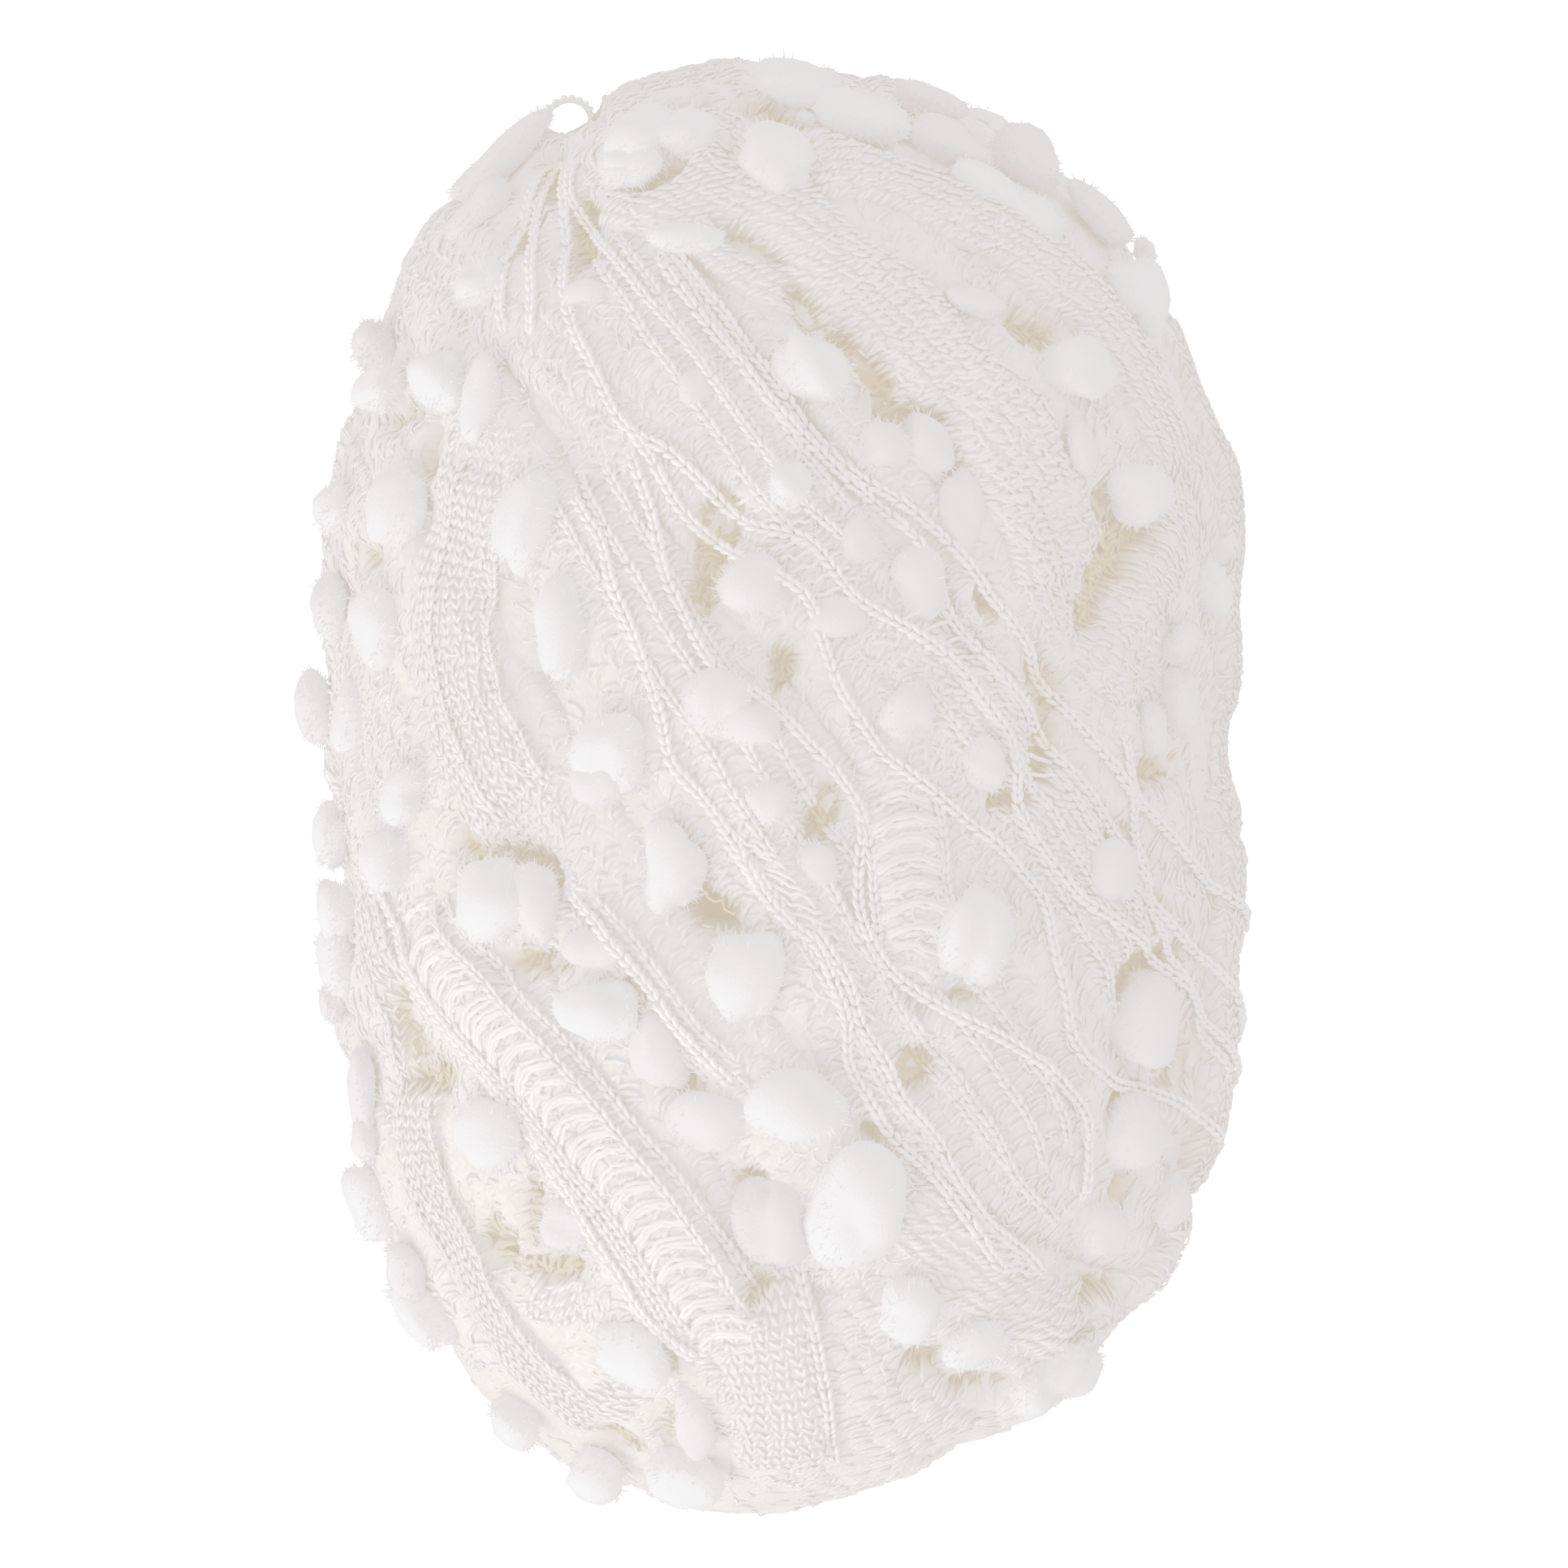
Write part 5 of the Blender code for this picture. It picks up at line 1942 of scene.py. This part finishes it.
@dataclass
class YarnBall:
    """The whole ball: core, under turns, front turns, stitches, cords, nets, curls and pompoms.

    Args:
        form: the plain ball.
        first_turns: how many turns of each of the first two kinds there are.
        under_turns: how many slanting turns lie over them.
        under_width: their usual width.
        rear_pompoms: how many places there are for pompoms all round the ball.
        inner_threads: how many threads lie over the inner turns.
        most_strands: the most strands in a piece.
    """

    form: BallForm = field(default_factory=BallForm)
    first_turns: int = 9
    under_turns: int = 17
    under_width: float = 15.0 * MM
    rear_pompoms: int = 150
    inner_threads: int = 9000
    most_strands: int = 9000

    def __post_init__(self) -> None:
        """Start with a bare cover and the finishes."""
        self.cover = YarnCover(self.form)
        self.cover.mark(HOLLOWS)
        self.inner_ground = YarnCover(self.form, ground=-2.5 * MM)
        self.inner_ground.height -= self.cover.dips
        self.waiting: list[Strands] = []
        self.taken: list[np.ndarray] = []
        fluff, knit = fluff_group(), knit_group()
        self.looks = {yarn: yarn.value.build(fluff, knit) for yarn in Yarn}

    def make(self, name: str, data: MeshData, yarn: Yarn, **options: object) -> None:
        """Make a piece of one of the ball's finishes; the options are those of make_piece."""
        make_piece(name, data, self.cover, self.looks[yarn], **options)

    def lay_core(self) -> None:
        """The inner turns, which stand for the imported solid."""
        # The inner turns take a dark brown finish: painted shade in the gaps between the outer turns
        self.make("inner_turns", WoundCore(self.form).build(self.inner_ground), Yarn.INNER)
        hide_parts(NODE)

    def lay_under_turns(self) -> None:
        """Closed turns all round the ball, the later ones over the earlier ones.

        The two late hoops close what the slanting turns leave bare near the ends; no strands lie
        on them.
        """
        chance = np.random.default_rng(5)
        thickness, cells, bed, wander = 2.1 * MM, 7, 2.5 * MM, 0.8 * MM
        early = [(Turn.HOOP, place) for place in (-0.99, *np.linspace(-0.96, 0.96, self.first_turns), 0.99)]
        lengthwise = chance.permutation(np.linspace(-0.93, 0.93, self.first_turns))
        slanting = chance.permutation(np.linspace(-0.9, 0.9, self.under_turns))
        early += [(Turn.LENGTHWISE, place) for place in lengthwise]
        early += [(Turn.SLANTING, place) for place in slanting]
        late = [(Turn.HOOP, place) for place in (-0.84, 0.84)]
        parts = []
        for number, (turn, shift) in enumerate([*early, *late]):
            kind = turn.value
            bearing = kind.bearing + chance.uniform(-8.0, 8.0) * kind.play
            lean = chance.uniform(-13.0, 13.0) * kind.play
            route = Route.ring(self.form, bearing, lean, shift, kind.step * MM)
            width = self.under_width * kind.share * chance.uniform(0.85, 1.15)
            tape = Tape(route, width, thickness, cells, kind.cap * MM, bed, wander, seed=number)
            parts.append(tape.build(self.cover))
            if number < len(early):
                self.waiting.append(tape.strands(self.cover, Knit.LOOSE.value))
        self.make("under_turns", joined(parts), Yarn.TAPE)

    def lay_inner_threads(self) -> None:
        """Short bowed threads scattered over the inner turns, of which those in the gaps are kept."""
        chance = np.random.default_rng(11)
        count = self.inner_threads
        around, along = self.form.scattered(chance, count, FULL_TURN, 0.98)
        t = np.linspace(-1.0, 1.0, 5)[None, :]
        bow = 1.0 - t**2
        slant = chance.normal(-0.8, 0.7, (count, 1))
        run = t * chance.uniform(1.2, 2.4, (count, 1)) * MM
        moves = turned(run, bow * chance.normal(0.0, 0.9, (count, 1)) * MM, slant)
        around, along = self.form.moved(around, along, *moves)
        lift = self.inner_ground.read(around, along) + 0.2 * MM + 0.5 * MM * bow
        lift = lift + chance.uniform(-0.2, 0.7, (count, 1)) * MM
        self.waiting.append(Strands(around, along, lift, chance.uniform(0.2, 0.3, count) * MM))

    def lay_front_tapes(self) -> None:
        """The turns that show from the photograph's side, with their stitches and corded columns."""
        cloth, chains, ribs = [], [], []
        step, cap, bed, wander = 0.9 * MM, 1.7 * MM, 1.8 * MM, 0.25 * MM
        cord_rise, end_run, end_sunk = 0.35 * MM, 6.0 * MM, 2.5 * MM
        column_cord = ChainCord(0.66 * MM, 1.5 * MM, 0.4 * MM, 0.75 * MM, 3)
        for number, spec in enumerate(TAPES):
            width, thickness = spec.width * MM, 0.95 * spec.thickness * MM
            route = Route.seen(self.form, spec.route, step)
            tape = Tape(route, width, thickness, round(spec.width), cap, bed, wander, seed=100 + number)
            cloth.append(tape.build(self.cover))
            if spec.ribs:
                ribs.append(tape.ribs(self.cover, spec.ribs))
            self.waiting.append(tape.strands(self.cover, spec.knit.value))
            stitched = Route.seen(self.form, spec.route, column_cord.step)
            for share in spec.columns:
                offset = share * 0.5 * width
                around, along = stitched.beside(np.full((len(stitched.around), 1), offset))
                lift = self.cover.softened(0.8 * MM).read(around[:, 0], along[:, 0]) + cord_rise
                lift -= (1.0 - stitched.ends(end_run)) * end_sunk
                chains.append(column_cord.stitches(stitched, lift, offset))
            LOG.info("front turn %s laid, with %d corded columns", spec.name, len(spec.columns))
        self.make("front_tapes", joined(cloth), Yarn.TAPE)
        self.make("tape_ribs", joined(ribs), Yarn.THREAD)
        self.make("tape_chains", joined(chains), Yarn.THREAD)

    def make_stitches(self) -> None:
        """The strands that still show once every turn is laid, in pieces of a moderate size."""
        cover = self.cover.softened(0.7 * MM)
        for kind, points, yarn in (("stitches", 4, Yarn.THREAD), ("fluff", 5, Yarn.FLUFF)):
            waiting = [part for part in self.waiting if part.around.shape[1] == points]
            seen = Strands.joined(waiting).seen(cover, 0.6 * MM)
            upper = np.sin(seen.around[:, 2]) > 0.0
            for side, shown in (("upper", upper), ("lower", ~upper)):
                index = np.flatnonzero(shown)
                parts = np.array_split(index, math.ceil(len(index) / self.most_strands) or 1)
                for number, part in enumerate(parts):
                    self.make(f"{side}_{kind}_{number}", seen.chosen(part).mesh(self.form), yarn)

    def lay_cords(self) -> None:
        """The chain-stitched cords over the front, bridging the dips under them."""
        parts = []
        stand, bridge, end_run, end_sunk = 0.6 * MM, 4.0 * MM, 5.0 * MM, 1.5 * MM
        for spec in CORDS:
            usual = ChainCord()
            cord = ChainCord(*(size * spec.size for size in (usual.spread, usual.pitch, usual.thread)))
            route = Route.seen(self.form, spec.route, cord.step)
            lift = resting_lift(route, self.cover, stand, bridge)
            lift -= (1.0 - route.ends(end_run)) * end_sunk
            parts.append(cord.stitches(route, lift))
            LOG.info("cord %s laid over %d places", spec.name, len(route.around))
        self.make("chain_cords", joined(parts), Yarn.CORD)

    def lay_loop(self) -> None:
        """The loop of thread that stands off the upper left end, with daylight through it."""
        height, twists, apart, radius = 60.0 * MM, 7, 0.3 * MM, 0.34 * MM
        places = on_photo(smooth_curve(np.array(LOOP, float)))
        middle = np.concatenate([places, np.full((len(places), 1), height)], axis=1)
        turn = np.linspace(0.0, twists * FULL_TURN, len(places))
        twist = np.stack([np.cos(turn), np.sin(turn), np.sin(turn)], axis=-1) * apart
        plies = np.stack([middle + twist, middle - twist])
        self.make("thread_loop", threads(plies, np.array([0.0, 0.0, 1.0]), radius, 5), Yarn.CORD)

    def lay_nets(self) -> None:
        """The ladder nets: single threads from one cord to the next, which sag between them."""
        parts = []
        sag, radius = 0.5 * MM, 0.36 * MM
        level_cover = self.cover.softened(1.5 * MM)
        chance = np.random.default_rng(51)
        share = np.linspace(0.0, 1.0, 8)
        for spec in NETS:
            first = Route.seen(self.form, spec.first, spec.pitch * MM)
            second = Route.seen(self.form, spec.second, 0.5 * MM)
            at = np.linspace(0, len(second.around) - 1, len(first.around)).astype(int)
            start = self.form.plain(first.around, first.along)[:, None, :]
            end = self.form.plain(second.around[at], second.along[at])[:, None, :]
            around, along = self.form.angles_of(start * (1 - share[:, None]) + end * share[:, None])
            level = level_cover.read(around, along)
            taut = level[:, :1] * (1 - share) + level[:, -1:] * share
            along = along + chance.normal(0.0, 0.25 * MM, around.shape)
            lift = np.maximum(level + 0.1 * MM, taut - sag * np.sin(math.pi * share)) + 0.3 * MM
            paths = self.form.lifted(around, along, lift)
            parts.append(threads(paths, self.form.normal(around, along), radius))
        self.make("ladder_nets", joined(parts), Yarn.CORD)

    def lay_curls(self) -> None:
        """Fluffy curls of thread over the upper and the lower side."""
        for name, count, seed, turn in (("upper", 420, 31, math.pi), ("lower", 250, 32, -math.pi)):
            self.make(name + "_curls", Curls(self.form).build(self.cover, count, seed, turn), Yarn.THREAD)

    def make_pompoms(self, name: str, tufts: Tufts, pile: PompomPile, yarn: Yarn) -> MeshData:
        """Make pompoms as a piece of bodies and a piece of fibres.

        Args:
            name: the bodies' name, which the fibres' begins with.
            tufts: where they sit.
            pile: how they are made.
            yarn: their finish.

        Returns:
            The mesh of the bodies.
        """
        bodies, fibres = pile.build(tufts)
        # The pile darkens with painted shade where it lies low, on the pompoms' lower rims
        self.make(name, bodies, yarn, slot="pompom", sunk=PILE_PAINTED_SHADE_SPAN)
        self.make(name + "_fibres", fibres, yarn, slot="pompom", sunk=PILE_PAINTED_SHADE_SPAN, smooth=False)
        return bodies

    def seat_pompoms(self, name: str, seats: tuple, yarn: Yarn) -> None:
        """Set the listed pompoms of some seats on the cover and raise the cover to them.

        Args:
            name: the piece's name.
            seats: which seats.
            yarn: their finish.
        """
        specs = [spec for spec in POMPOMS if spec.seat in seats]
        pixels = np.array([(spec.across, spec.down) for spec in specs], float)
        usual_lift, highest_bed, longer, wider = 3.5 * MM, 3.0 * MM, 1.05, 1.08
        around, along = self.form.under_view(pixels, usual_lift)
        length = np.array([spec.length for spec in specs]) * longer * MM
        width = np.array([spec.width for spec in specs]) * wider * MM
        stand = np.array([spec.seat.value for spec in specs]) * width
        angle = np.radians([spec.heading for spec in specs])
        flat = np.stack([np.cos(angle), np.sin(angle), 0.0 * angle], axis=-1)
        normal = self.form.normal(around, along)
        lift = np.minimum(self.cover.softened(2.0 * MM).read(around, along), highest_bed) + stand
        middle = self.form.lifted(around, along, lift)
        spread = VIEW_DISTANCE / (VIEW_DISTANCE + VIEW_LEVEL - middle[:, 2])
        middle[:, :2] = VIEW_MIDDLE + (on_photo(pixels) - VIEW_MIDDLE) / spread[:, None]
        tufts = Tufts(middle, flattened(flat, normal), normal, length, width)
        bodies = self.make_pompoms(name, tufts, PompomPile(), yarn)
        self.cover.lift_cells(*self.form.measured(bodies.verts))
        self.taken.append(middle)

    def lay_rear_pompoms(self) -> None:
        """Pompoms on a sunflower spiral, a golden angle apart, where the listed ones leave room."""
        chance = np.random.default_rng(7)
        count, apart, highest = self.rear_pompoms, 10.0 * MM, -14.0 * MM
        number = np.arange(count)
        along = self.form.half_length * 0.95 * (1.0 - 2.0 * (number + 0.5) / count)
        around = number * GOLDEN_ANGLE + chance.uniform(-0.1, 0.1, count)
        length = chance.uniform(8.5, 13.5, count) * MM
        width = length * chance.uniform(0.62, 0.95, count)
        lift = self.cover.softened(2.0 * MM).read(around, along) + 0.1 * width
        middle = self.form.lifted(around, along, lift)
        normal = self.form.normal(around, along)
        taken = np.concatenate(self.taken)
        clear = np.linalg.norm(middle[:, None] - taken[None], axis=-1).min(axis=1) > apart
        keep = (self.form.plain(around, along)[:, 2] < highest) & clear
        angle = chance.uniform(0.0, math.pi, count)
        flat = np.stack([np.cos(angle), np.sin(angle), 0.0 * angle + 0.05], axis=-1)
        parts = (middle, flattened(flat, normal), normal, length, width)
        pile = PompomPile(steps_around=16, steps_along=10, fibres=100)
        self.make_pompoms("rear_pompoms", Tufts(*(part[keep] for part in parts)), pile, Yarn.PILE)

    def build(self) -> None:
        """Lay every piece in order, the inner ones first."""
        self.lay_core()
        self.lay_under_turns()
        self.lay_inner_threads()
        self.lay_front_tapes()
        self.make_stitches()
        self.lay_curls()
        # The sunk pompoms take a darker, more lavender pile than the top ones: painted shade
        self.seat_pompoms("sunk_pompoms", (MID, DEEP), Yarn.SUNK_PILE)
        # These take the darkest pile: painted shade, mostly on pompoms at the far edge
        self.seat_pompoms("shade_painted_pompoms", (EDGE,), Yarn.EDGE_PILE)
        self.lay_cords()
        self.lay_nets()
        self.lay_loop()
        self.seat_pompoms("proud_pompoms", (TOP,), Yarn.PILE)
        self.lay_rear_pompoms()


def main() -> None:
    """Build the ball and its stage; each piece logs its count of triangles."""
    logging.basicConfig(level=logging.INFO, format="%(name)s: %(message)s")
    YarnBall().build()
    Studio().build()


if __name__ == "__main__":
    main()
